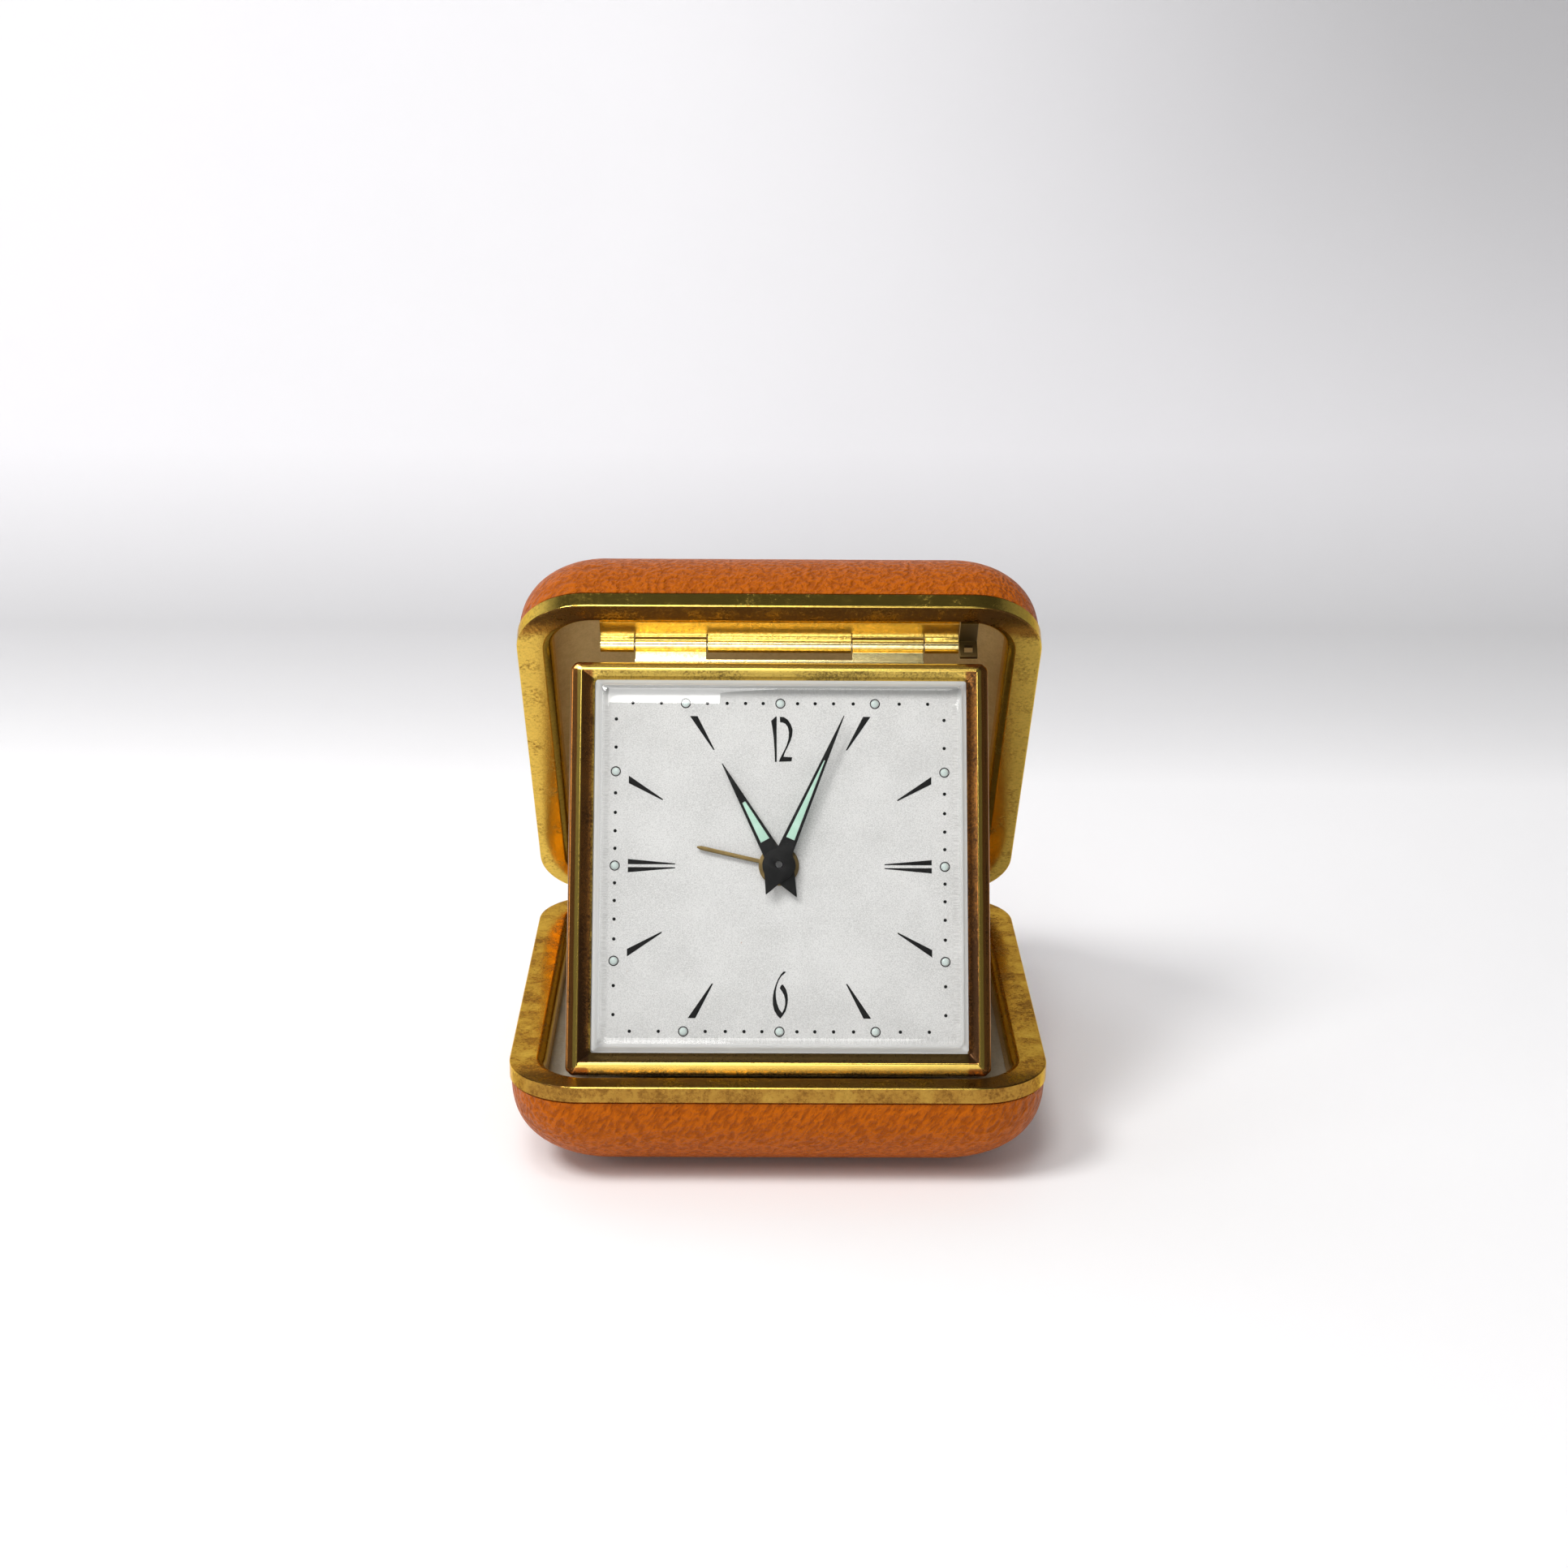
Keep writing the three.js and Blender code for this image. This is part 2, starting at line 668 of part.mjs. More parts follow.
// Dial plate with the centre hole and two feet into the front plate
const cannonTube = centreArbor + tubeGap + tubeWall;
const hourTube = cannonTube + tubeGap + tubeWall;
const alarmTube = hourTube + tubeGap + tubeWall;
const dialFeet = [[-dialFootPlace, dialFootPlace], [dialFootPlace, -dialFootPlace]];
const dialPlate = slab(
  squareOutline(cavityHalf - seatGap, bezelCorner / 2), dialDepth, dialBack,
  [discOutline(alarmTube + tubeGap, roundSides, 0, dialRise)],
);
const dialPosts = dialFeet.map(([x, y]) => slab(
  discOutline(dialFoot, smallSides, x, y), dialBack - dialSheet / 2, plateFront + plateSheet / 2,
));
add(clockFace, 'dial', join(dialPlate, ...dialPosts), '#d8d7d3', 0.7, 0);

// Hands lie along their own bearing, clockwise from twelve
const bearingPoint = (distance, degrees) => [
  distance * Math.cos(radians(degrees)),
  distance * Math.sin(radians(degrees)),
];

// The luminous fill leaves an even border inside the tapered blade
function lumeOutline({ reach, width, hub }, gap) {
  const border = lumeBorder + gap;
  const tip = reach * (1 - 2 * border / width);
  const start = hub + border;
  const half = (1 - start / reach) * width / 2 - border;
  return [
    new THREE.Vector2(-half, start), new THREE.Vector2(half, start), new THREE.Vector2(0, tip),
  ];
}

// A tapered hand with a round hub, a pointed tail and a long window for the luminous fill
function taperedHand(hand) {
  const { reach, tail, width, hub, bore, front } = hand;
  const back = front + handSheet;
  const blade = slab([
    new THREE.Vector2(-width / 2, 0), new THREE.Vector2(0, -tail),
    new THREE.Vector2(width / 2, 0), new THREE.Vector2(0, reach),
  ], front, back);
  const body = join(blade, rod(hub, front, back, roundSides));
  return cut(
    body,
    rod(bore, front - handGap, back + handGap, roundSides),
    slab(lumeOutline(hand, 0), front - handGap, back + handGap),
  );
}

function handGroup(degrees) {
  const group = at(movement, 0, 0);
  group.rotation.z = -radians(degrees);
  return group;
}

const handBlack = ['#17150f', 0.4, 0.2];
const lumeMint = ['#aed6bc', 0.8, 0];
const minuteHand = {
  reach: minuteReach, tail: minuteTail, width: minuteWidth, hub: minuteHub,
  bore: cannonTube + lumeGap, front: minuteFront,
};
const hourHand = {
  reach: hourReach, tail: hourTail, width: hourWidth, hub: hourHub,
  bore: hourTube + lumeGap, front: hourFront,
};

function addHand(name, hand, degrees) {
  const group = handGroup(degrees);
  const fill = slab(lumeOutline(hand, lumeGap), hand.front, hand.front + handSheet);
  add(group, name, taperedHand(hand), ...handBlack);
  add(group, `${name}_lume`, fill, ...lumeMint);
}

addHand('minute_hand', minuteHand, minuteAngle);
addHand('hour_hand', hourHand, hourAngle);

const alarmGroup = handGroup(alarmAngle);
const alarmBar = block(
  -alarmWidth / 2, alarmWidth / 2, alarmHub / 2, alarmReach, -alarmFront - handSheet, -alarmFront,
);
add(alarmGroup, 'alarm_hand', cut(
  join(rod(alarmHub, alarmFront, alarmFront + handSheet, roundSides), alarmBar),
  rod(alarmTube + lumeGap, alarmFront - handGap, alarmFront + 2 * handGap, roundSides),
), ...brass);

// Arbor places about the dial's centre
const polar = ([x, y], distance, degrees) => {
  const [dx, dy] = bearingPoint(distance, degrees);
  return [x + dx, y + dy];
};
const centre = [0, 0];
const hourModule = motionModule * (cannonTeeth + minuteTeeth) / (minutePinionTeeth + hourTeeth);
const timePlace = polar(centre, meshDistance(mainModule, mainTeeth, centrePinionTeeth), timeBearing);
const thirdPlace = polar(centre, meshDistance(trainModule, centreTeeth, thirdPinionTeeth), thirdBearing);
const fourthPlace = polar(
  thirdPlace, meshDistance(fineModule, thirdTeeth, fourthPinionTeeth), fourthBearing,
);
const escapePlace = polar(
  fourthPlace, meshDistance(fineModule, fourthTeeth, escapePinionTeeth), escapeBearing,
);
const palletPlace = polar(escapePlace, palletDistance, palletBearing);
const balancePlace = polar(palletPlace, balanceDistance, palletBearing);
const minutePlace = polar(centre, meshDistance(motionModule, cannonTeeth, minuteTeeth), minuteBearing);
const settingPlace = polar(minutePlace, meshDistance(motionModule, minuteTeeth, settingTeeth), minuteBearing);
const alarmSetPlace = polar(
  centre, meshDistance(alarmModule, alarmWheelTeeth, alarmPinionTeeth), alarmSetBearing,
);
const alarmPlace = polar(centre, alarmDistance, alarmBearing);
const alarmEscapePlace = polar(
  alarmPlace, meshDistance(mainModule, mainTeeth, alarmEscapePinionTeeth), alarmEscapeBearing,
);
const hammerPlace = polar(alarmEscapePlace, hammerDistance, hammerBearing);
const screwPlace = plateHalf - screwInset;
const screwPlaces = [[1, 1], [-1, 1], [-1, -1], [1, -1]].map(([x, y]) => [x * screwPlace, y * screwPlace]);

// Plates, with a hole for each arbor that runs in them and pillars riveted into the front one
const trainPlaces = [
  thirdPlace, fourthPlace, escapePlace, palletPlace, balancePlace, alarmEscapePlace, hammerPlace,
];
const holes = (places, radius) => places.map(([x, y]) => discOutline(radius + pivotGap, smallSides, x, y));
const sharedHoles = [
  ...holes(trainPlaces, arbor), ...holes([timePlace, alarmPlace], windingArbor),
  ...holes([settingPlace, alarmSetPlace], settingArbor), ...holes([centre], centreArbor),
];
const dialFootHoles = dialFeet.map(([x, y]) => (
  discOutline(dialFoot + pivotGap, smallSides, x, y - dialRise)
));
const frontSheet = slab(
  squareOutline(plateHalf, plateCorner), plateFront, plateInner,
  [...sharedHoles, ...holes([minutePlace], arbor), ...dialFootHoles],
);
const pillars = screwPlaces.map(([x, y]) => (
  rod(pillarRadius, plateInner - plateSheet / 2, backInner - skinGap).translate(x, y, 0)
));
const pillarBores = screwPlaces.map(([x, y]) => (
  rod(screwShank + pivotGap, screwEnd - seatGap, backInner).translate(x, y, 0)
));
add(movement, 'front_plate', cut(join(frontSheet, ...pillars), ...pillarBores), ...brass);
add(movement, 'back_plate', slab(
  squareOutline(plateHalf, plateCorner), backInner, backOuter,
  [...sharedHoles, ...holes(screwPlaces, screwShank)],
), ...brass);

// Going train
function wheelAndPinion(wheel, pinion, front, back, shaft = arbor) {
  return join(wheel, pinion, rod(shaft, front, back));
}

const trainFront = plateFront + skinGap;
const trainBack = backOuter - skinGap;
const bearingTo = ([x0, y0], [x1, y1]) => Math.atan2(y1 - y0, x1 - x0);

const timeGroup = at(movement, ...timePlace);
const windingBore = windingArbor + tubeGap;

function mainWheel() {
  return slab(wheelOutline(mainTeeth, mainModule), mainPlane, mainPlane + wheelSheet, [
    discOutline(windingBore, roundSides),
  ]);
}

add(timeGroup, 'time_main_wheel', mainWheel(), ...brass);

const centreGroup = at(movement, ...centre);
const centrePhase = meshPhase(bearingTo(timePlace, centre), 0, mainTeeth, centrePinionTeeth);
add(centreGroup, 'centre_wheel', wheelAndPinion(
  slab(wheelOutline(centreTeeth, trainModule), centrePlane, centrePlane + wheelSheet),
  slab(
    pinionOutline(centrePinionTeeth, mainModule, centrePhase),
    mainPlane - stackGap / 2, mainPlane + wheelSheet + stackGap / 2,
  ),
  minuteFront - handGap / 2, trainBack, centreArbor,
), ...brass);

const thirdGroup = at(movement, ...thirdPlace);
const thirdPhase = meshPhase(bearingTo(centre, thirdPlace), 0, centreTeeth, thirdPinionTeeth);
add(thirdGroup, 'third_wheel', wheelAndPinion(
  slab(wheelOutline(thirdTeeth, fineModule), mainPlane, mainPlane + wheelSheet),
  slab(
    pinionOutline(thirdPinionTeeth, trainModule, thirdPhase),
    centrePlane - stackGap / 2, centrePlane + wheelSheet + stackGap / 2,
  ),
  trainFront, trainBack,
), ...brass);

const fourthGroup = at(movement, ...fourthPlace);
const fourthPhase = meshPhase(bearingTo(thirdPlace, fourthPlace), 0, thirdTeeth, fourthPinionTeeth);
add(fourthGroup, 'fourth_wheel', wheelAndPinion(
  slab(wheelOutline(fourthTeeth, fineModule), fourthPlane, fourthPlane + wheelSheet),
  slab(
    pinionOutline(fourthPinionTeeth, fineModule, fourthPhase),
    mainPlane - stackGap / 2, mainPlane + wheelSheet + stackGap / 2,
  ),
  trainFront, trainBack,
), ...brass);

const escapeGroup = at(movement, ...escapePlace);
const escapePhase = meshPhase(bearingTo(fourthPlace, escapePlace), 0, fourthTeeth, escapePinionTeeth);
add(escapeGroup, 'escape_wheel', wheelAndPinion(
  slab(sawOutline(escapeTeeth, escapeRadius, escapeToothDepth), escapePlane, escapePlane + wheelSheet),
  slab(
    pinionOutline(escapePinionTeeth, fineModule, escapePhase),
    fourthPlane - stackGap / 2, fourthPlane + wheelSheet + stackGap / 2,
  ),
  trainFront, trainBack,
), ...brass);

// Pallet lever: two arms over the escape wheel and a fork towards the balance staff
const palletGroup = at(movement, ...palletPlace);
palletGroup.rotation.z = radians(palletBearing - 90);
const forkEnd = balanceDistance - rollerRadius - 2 * clickGap;
add(palletGroup, 'pallet_lever', join(
  slab([
    new THREE.Vector2(-palletArm, -palletSheet), new THREE.Vector2(0, -palletSheet / 2),
    new THREE.Vector2(palletArm, -palletSheet), new THREE.Vector2(palletSheet / 2, palletSheet / 2),
    new THREE.Vector2(palletSheet, forkEnd), new THREE.Vector2(-palletSheet, forkEnd),
    new THREE.Vector2(-palletSheet / 2, palletSheet / 2),
  ], escapePlane, escapePlane + wheelSheet),
  rod(arbor, trainFront, escapePlane + wheelSheet),
), ...steel);

const balanceGroup = at(movement, ...balancePlace);
add(balanceGroup, 'balance_wheel', join(
  tube(balanceRadius, balanceRadius - balanceRim, balancePlane, balancePlane + wheelSheet, 2 * roundSides),
  block(
    balanceRim / 2 - balanceRadius, balanceRadius - balanceRim / 2, -balanceSpoke / 2, balanceSpoke / 2,
    -balancePlane - wheelSheet, -balancePlane,
  ),
  rod(rollerRadius, escapePlane, escapePlane + wheelSheet),
  rod(arbor, trainFront, trainBack),
), ...brass);
add(balanceGroup, 'hairspring', slab(
  spiralOutline(hairspringOuter, hairspringInner, hairspringTurns, hairspringSheet),
  hairspringPlane, hairspringPlane + wheelSheet,
), ...bluedSteel);

// Motion work under the dial
const cannonGroup = at(movement, ...centre);
add(cannonGroup, 'cannon_pinion', cut(
  join(
    slab(pinionOutline(cannonTeeth, motionModule), minutePlane, minutePlane + wheelSheet),
    rod(cannonTube, minuteFront, minutePlane + wheelSheet, roundSides),
  ),
  rod(centreArbor + tubeGap, minuteFront - handGap, plateFront, roundSides),
), ...steel);

const minuteWheelGroup = at(movement, ...minutePlace);
const minutePhase = meshPhase(bearingTo(centre, minutePlace), 0, cannonTeeth, minuteTeeth);
add(minuteWheelGroup, 'minute_wheel', wheelAndPinion(
  slab(wheelOutline(minuteTeeth, motionModule, minutePhase), minutePlane, minutePlane + wheelSheet),
  slab(pinionOutline(minutePinionTeeth, hourModule), hourPlane, minutePlane + wheelSheet / 2),
  hourPlane, plateInner - skinGap,
), ...brass);

const hourPhase = meshPhase(bearingTo(minutePlace, centre), 0, minutePinionTeeth, hourTeeth);
add(at(movement, ...centre), 'hour_wheel', cut(
  join(
    slab(wheelOutline(hourTeeth, hourModule, hourPhase), hourPlane, hourPlane + wheelSheet),
    rod(hourTube, hourFront, hourPlane + wheelSheet, roundSides),
  ),
  rod(cannonTube + tubeGap, hourFront - handGap, minutePlane, roundSides),
), ...brass);

const alarmSetGroup = at(movement, ...alarmSetPlace);
const alarmWheelPhase = meshPhase(bearingTo(alarmSetPlace, centre), 0, alarmPinionTeeth, alarmWheelTeeth);
add(at(movement, ...centre), 'alarm_wheel', cut(
  join(
    slab(
      wheelOutline(alarmWheelTeeth, alarmModule, alarmWheelPhase), alarmPlane, alarmPlane + wheelSheet,
    ),
    rod(alarmTube, alarmFront, alarmPlane + wheelSheet, roundSides),
  ),
  rod(hourTube + tubeGap, alarmFront - handGap, hourPlane, roundSides),
), ...brass);

// Setting arbors run from the motion work to the knobs on the back
const knobBack = backPlane + knobHeight;
const settingEnd = backPlane + knobHeight / 2;
const settingPhase = meshPhase(bearingTo(minutePlace, settingPlace), minutePhase, minuteTeeth, settingTeeth);
const settingGroup = at(movement, ...settingPlace);
add(settingGroup, 'hand_setting_arbor', join(
  slab(pinionOutline(settingTeeth, motionModule, settingPhase), minutePlane, minutePlane + wheelSheet),
  rod(settingArbor, minutePlane, settingEnd),
), ...steel);
add(alarmSetGroup, 'alarm_setting_arbor', join(
  slab(pinionOutline(alarmPinionTeeth, alarmModule), alarmPlane, alarmPlane + wheelSheet),
  rod(settingArbor, alarmPlane, settingEnd),
), ...steel);

function knob() {
  const ribbed = Array.from({ length: 2 * knobRibs }, (unused, i) => {
    const radius = knobRadius - (i % 2) * knobRibDepth;
    const angle = Math.PI * i / knobRibs;
    return new THREE.Vector2(radius * Math.cos(angle), radius * Math.sin(angle));
  });
  const bore = rod(settingArbor + lumeGap, canBack, settingEnd + lumeGap);
  return cut(slab(ribbed, backPlane, knobBack), bore);
}

add(settingGroup, 'hand_setting_knob', knob(), ...gilt);
add(alarmSetGroup, 'alarm_setting_knob', knob(), ...gilt);

// Winding: a mainspring round each arbor, a ratchet behind the back plate and a wing key outside
const keyWing = backPlane + keyFoot;
const keyEnd = backPlane + keyHeight;

function windingArborPiece() {
  return join(
    rod(windingArbor, trainFront, keyWing - skinGap),
    slab(sawOutline(ratchetTeeth, ratchetRadius, ratchetDepth), ratchetPlane, ratchetPlane + wheelSheet),
  );
}

function wingKey() {
  const hub = rod(keyHub, backPlane, keyEnd, roundSides);
  const wing = slab([
    new THREE.Vector2(-keySpan / 2, -keySheet / 2), new THREE.Vector2(keySpan / 2, -keySheet / 2),
    new THREE.Vector2(keySpan / 2, keySheet / 2), new THREE.Vector2(-keySpan / 2, keySheet / 2),
  ], keyWing, keyEnd);
  return cut(join(hub, wing), rod(windingArbor + lumeGap, canBack, keyWing));
}

const mainspring = () => slab(
  spiralOutline(mainspringOuter, mainspringInner, mainspringTurns, mainspringSheet),
  springPlane, springPlane + mainspringWidth,
);

// A click lies along the ratchet's side and turns on a pin in the back plate
const clickPlace = ratchetRadius + clickGap + clickWidth;

function click() {
  return slab([
    new THREE.Vector2(-clickWidth, -clickWidth / 2), new THREE.Vector2(clickReach, -clickWidth / 2),
    new THREE.Vector2(clickReach, 0), new THREE.Vector2(-clickWidth, clickWidth / 2),
  ], ratchetPlane, ratchetPlane + wheelSheet);
}

const alarmWinding = at(movement, ...alarmPlace);
[[timeGroup, 'time'], [alarmWinding, 'alarm']].forEach(([group, name]) => {
  add(group, `${name}_mainspring`, mainspring(), ...bluedSteel);
  add(group, `${name}_winding_arbor`, windingArborPiece(), ...steel);
  add(group, `${name}_key`, wingKey(), ...gilt);
  add(at(group, 0, -clickPlace), `${name}_click`, click(), ...steel);
});

// Alarm train and hammer
add(alarmWinding, 'alarm_main_wheel', mainWheel(), ...brass);
const alarmEscapeGroup = at(movement, ...alarmEscapePlace);
const alarmEscapePhase = meshPhase(
  bearingTo(alarmPlace, alarmEscapePlace), 0, mainTeeth, alarmEscapePinionTeeth,
);
add(alarmEscapeGroup, 'alarm_escape_wheel', wheelAndPinion(
  slab(
    sawOutline(alarmEscapeTeeth, alarmEscapeRadius, escapeToothDepth),
    centrePlane, centrePlane + wheelSheet,
  ),
  slab(
    pinionOutline(alarmEscapePinionTeeth, mainModule, alarmEscapePhase),
    mainPlane - stackGap / 2, mainPlane + wheelSheet + stackGap / 2,
  ),
  trainFront, trainBack,
), ...brass);

const hammerGroup = at(movement, ...hammerPlace);
add(hammerGroup, 'alarm_hammer', join(
  slab([
    new THREE.Vector2(-palletArm, -palletSheet), new THREE.Vector2(palletArm, -palletSheet),
    new THREE.Vector2(hammerArm / 2, hammerReach), new THREE.Vector2(-hammerArm / 2, hammerReach),
  ], centrePlane, centrePlane + wheelSheet),
  rod(hammerHead, centrePlane - wheelSheet, centrePlane + wheelSheet).translate(0, hammerReach, 0),
  rod(arbor, trainFront, trainBack),
), ...steel);

// Regulator: a ring round the balance's back pivot with a finger out through the case's back
const regulatorGroup = at(movement, ...balancePlace);
const regulatorHub = arbor + tubeGap + 2 * tubeWall;
add(regulatorGroup, 'regulator_lever', join(
  tube(regulatorHub, arbor + tubeGap, ratchetPlane, ratchetPlane + wheelSheet),
  block(
    regulatorHub - tubeWall / 2, regulatorReach, -regulatorWidth / 2, regulatorWidth / 2,
    -ratchetPlane - wheelSheet, -ratchetPlane,
  ),
  block(
    regulatorReach - regulatorWidth, regulatorReach, -regulatorWidth / 2, regulatorWidth / 2,
    -canBack - stopHeight / 2, -ratchetPlane,
  ),
), ...nickel);

// Alarm stop: a slide behind the back plate with a button outside the case
const stopGroup = at(movement, stopPlaceX, stopPlaceY);
const stopEnd = backPlane + stopHeight;
add(stopGroup, 'alarm_stop', join(
  block(-stopButton / 2, stopButton / 2, -stopButton, stopButton, -ratchetPlane - wheelSheet, -ratchetPlane),
  block(-stopWidth / 2, stopWidth / 2, -stopWidth / 2, stopWidth / 2, -stopEnd, -ratchetPlane),
  block(-stopButton / 2, stopButton / 2, -stopButton / 2, stopButton / 2, -stopEnd, -backPlane),
), ...nickel);

// Back case: a can with a flange behind the dial, bosses on the back plate and holes for what passes
function slotTool(width, x0, x1, y0, y1) {
  return block(
    x0 - width / 2, x1 + width / 2, y0 - width / 2, y1 + width / 2, -canBack - canSheet, -backOuter,
  );
}

function backCan() {
  const canRings = [
    [canHalf - canSheet - canBevel, canInside], [canHalf - canSheet, canInside - canBevel],
    [canHalf - canSheet, canFront],
    [canHalf + canFlange, canFront], [canHalf + canFlange, canFront + canSheet],
    [canHalf, canFront + canSheet], [canHalf, canBack - canBevel], [canHalf - canBevel, canBack],
  ].map(([half, depth]) => squareRing(half, canCorner - (canHalf - half), -depth)).reverse();
  const bosses = screwPlaces.map(([x, y]) => (
    rod(pillarRadius, backOuter + skinGap, canInside + canSheet / 2).translate(x, y + dialRise, 0)
  ));
  const drill = ([x, y], radius) => (
    rod(radius + pivotGap, backOuter, canBack + canSheet, roundSides).translate(x, y + dialRise, 0)
  );
  const sweep = Array.from({ length: sweepSteps + 1 }, (unused, i) => {
    const degrees = (2 * i / sweepSteps - 1) * (regulatorSwing + regulatorSpare);
    const [x, y] = polar(balancePlace, regulatorReach - regulatorWidth / 2, degrees);
    return rod(regulatorWidth, backOuter, canBack + canSheet).translate(x, y + dialRise, 0);
  });
  return cut(
    join(loft(canRings), ...bosses),
    ...screwPlaces.map((place) => drill(place, screwShank)),
    drill(timePlace, windingArbor), drill(alarmPlace, windingArbor),
    drill(settingPlace, settingArbor), drill(alarmSetPlace, settingArbor),
    join(...sweep),
    slotTool(
      stopWidth + 2 * pivotGap, stopPlaceX, stopPlaceX,
      stopPlaceY + dialRise, stopPlaceY + dialRise + stopTravel,
    ),
  );
}

add(clockFace, 'back_case', backCan(), '#b8973f', 0.32, 1);

function caseScrew([x, y]) {
  const screw = join(
    rod(screwHead, backPlane, backPlane + screwHeadHeight, roundSides),
    rod(screwShank, screwEnd, backPlane + screwHeadHeight / 2),
  );
  const slot = block(
    -2 * screwHead, 2 * screwHead, -screwSlot / 2, screwSlot / 2,
    -backPlane - 2 * screwHeadHeight, -backPlane - screwHeadHeight / 2,
  );
  return cut(screw, slot).translate(x, y, 0);
}

screwPlaces.forEach((place, i) => add(movement, `case_screw_${i + 1}`, caseScrew(place), ...steel));

export default clockModel;
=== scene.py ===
import json
from math import acos, asin, copysign, cos, degrees, hypot, pi, radians, sin, sqrt

import bmesh
import bpy
from mathutils import Matrix, Quaternion, Vector


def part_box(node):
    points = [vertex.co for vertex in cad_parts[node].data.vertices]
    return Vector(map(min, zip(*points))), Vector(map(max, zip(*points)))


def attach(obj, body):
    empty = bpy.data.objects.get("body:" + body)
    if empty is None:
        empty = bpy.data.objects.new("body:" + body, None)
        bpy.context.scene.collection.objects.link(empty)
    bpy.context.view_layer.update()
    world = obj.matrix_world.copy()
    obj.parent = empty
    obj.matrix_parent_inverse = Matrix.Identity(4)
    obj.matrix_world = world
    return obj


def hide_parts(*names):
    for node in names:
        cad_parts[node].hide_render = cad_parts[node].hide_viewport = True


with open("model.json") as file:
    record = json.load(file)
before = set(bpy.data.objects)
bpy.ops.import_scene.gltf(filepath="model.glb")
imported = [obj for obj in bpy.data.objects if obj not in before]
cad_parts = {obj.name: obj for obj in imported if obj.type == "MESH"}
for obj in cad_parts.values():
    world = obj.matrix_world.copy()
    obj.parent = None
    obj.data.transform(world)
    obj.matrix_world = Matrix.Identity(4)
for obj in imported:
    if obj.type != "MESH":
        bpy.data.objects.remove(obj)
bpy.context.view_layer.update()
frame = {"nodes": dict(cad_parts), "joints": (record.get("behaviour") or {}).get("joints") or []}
nodes = frame["nodes"]
joints = {joint["name"]: joint for joint in frame["joints"]}
scene = bpy.context.scene
mm = 0.001
print("frame loaded:", len(nodes), "nodes")


def pick(look, names):
    return [look[name] for name in names.split()]


def ramp(value, start, run):
    return min(max((value - start) / run, 0.0), 1.0)


# Places: millimetres in each local frame, metres in the row frame
def axesPlace(origin, xAxis, yAxis, zAxis):
    turn = Matrix((xAxis, yAxis, zAxis)).transposed().to_4x4()
    return Matrix.Translation(origin) @ turn @ Matrix.Scale(mm, 4)


right = Vector((1, 0, 0))
lidHinge = Vector(joints["lid_hinge"]["pos_m"])
clockPivot = Vector(joints["clock_fold"]["pos_m"])
faceOut = Vector(joints["hour_hand"]["axis"]).normalized()
faceUp = faceOut.cross(right)
lidBack = (lidHinge - clockPivot).normalized()
lidOut = right.cross(lidBack)
hingeY = lidHinge.y / mm
rimHeight = lidHinge.z
dialRise = 0.3   # the dial sits a little high in the bezel
# clock: x right, y up the dial, z to the viewer; halves: y to the case hinge, z from the rim to the leather
clockPlace = axesPlace(Vector(joints["hour_hand"]["pos_m"]), right, faceUp, faceOut)
basePlace = axesPlace(Vector((0, 0, rimHeight)), -right, Vector((0, 1, 0)), Vector((0, 0, -1)))
lidPlace = axesPlace(lidHinge - lidBack * hingeY * mm, right, lidBack, lidOut)
bezelPlace = clockPlace @ Matrix.Translation((0, -dialRise, 0))


def jointPlace(name):
    # the clock's frame, moved to a joint
    spot = clockPlace.inverted() @ Vector(joints[name]["pos_m"])
    return clockPlace @ Matrix.Translation((spot.x, spot.y, 0))


def handPlace(angle):
    return clockPlace @ Matrix.Rotation(radians(-angle), 4, "Z")


# Nodes: a wrapped socket with operators, and a maker for one tree
class Link:
    def __init__(self, maker, socket):
        self.maker = maker
        self.socket = socket


def operator(operation, swapped):
    def made(first, second):
        return first.maker.math(operation, *((second, first) if swapped else (first, second)))
    return made


for word, operation in (("add", "ADD"), ("sub", "SUBTRACT"), ("mul", "MULTIPLY"), ("truediv", "DIVIDE")):
    setattr(Link, "__%s__" % word, operator(operation, False))
    setattr(Link, "__r%s__" % word, operator(operation, True))


class Maker:
    def __init__(self, tree):
        self.tree = tree

    def feed(self, target, value):
        if isinstance(value, Link):
            self.tree.links.new(value.socket, target)
        elif target.type == "RGBA":
            target.default_value = (*value, 1.0)
        else:
            target.default_value = value

    def node(self, kind, settings=None, sockets=None, output=0):
        made = self.tree.nodes.new(kind)
        for key, value in (settings or {}).items():
            setattr(made, key, value)
        for key, value in (sockets or {}).items():
            self.feed(made.inputs[key], value)
        return Link(self, made.outputs[output])

    def math(self, operation, *values):
        return self.node("ShaderNodeMath", {"operation": operation}, dict(enumerate(values)))

    def step(self, value, low, high, start=0.0, end=1.0):
        return self.node("ShaderNodeMapRange", {"interpolation_type": "SMOOTHSTEP"}, {
            "Value": value, "From Min": low, "From Max": high, "To Min": start, "To Max": end,
        })

    def ray(self, name):
        return self.node("ShaderNodeLightPath", output="Is %s Ray" % name)


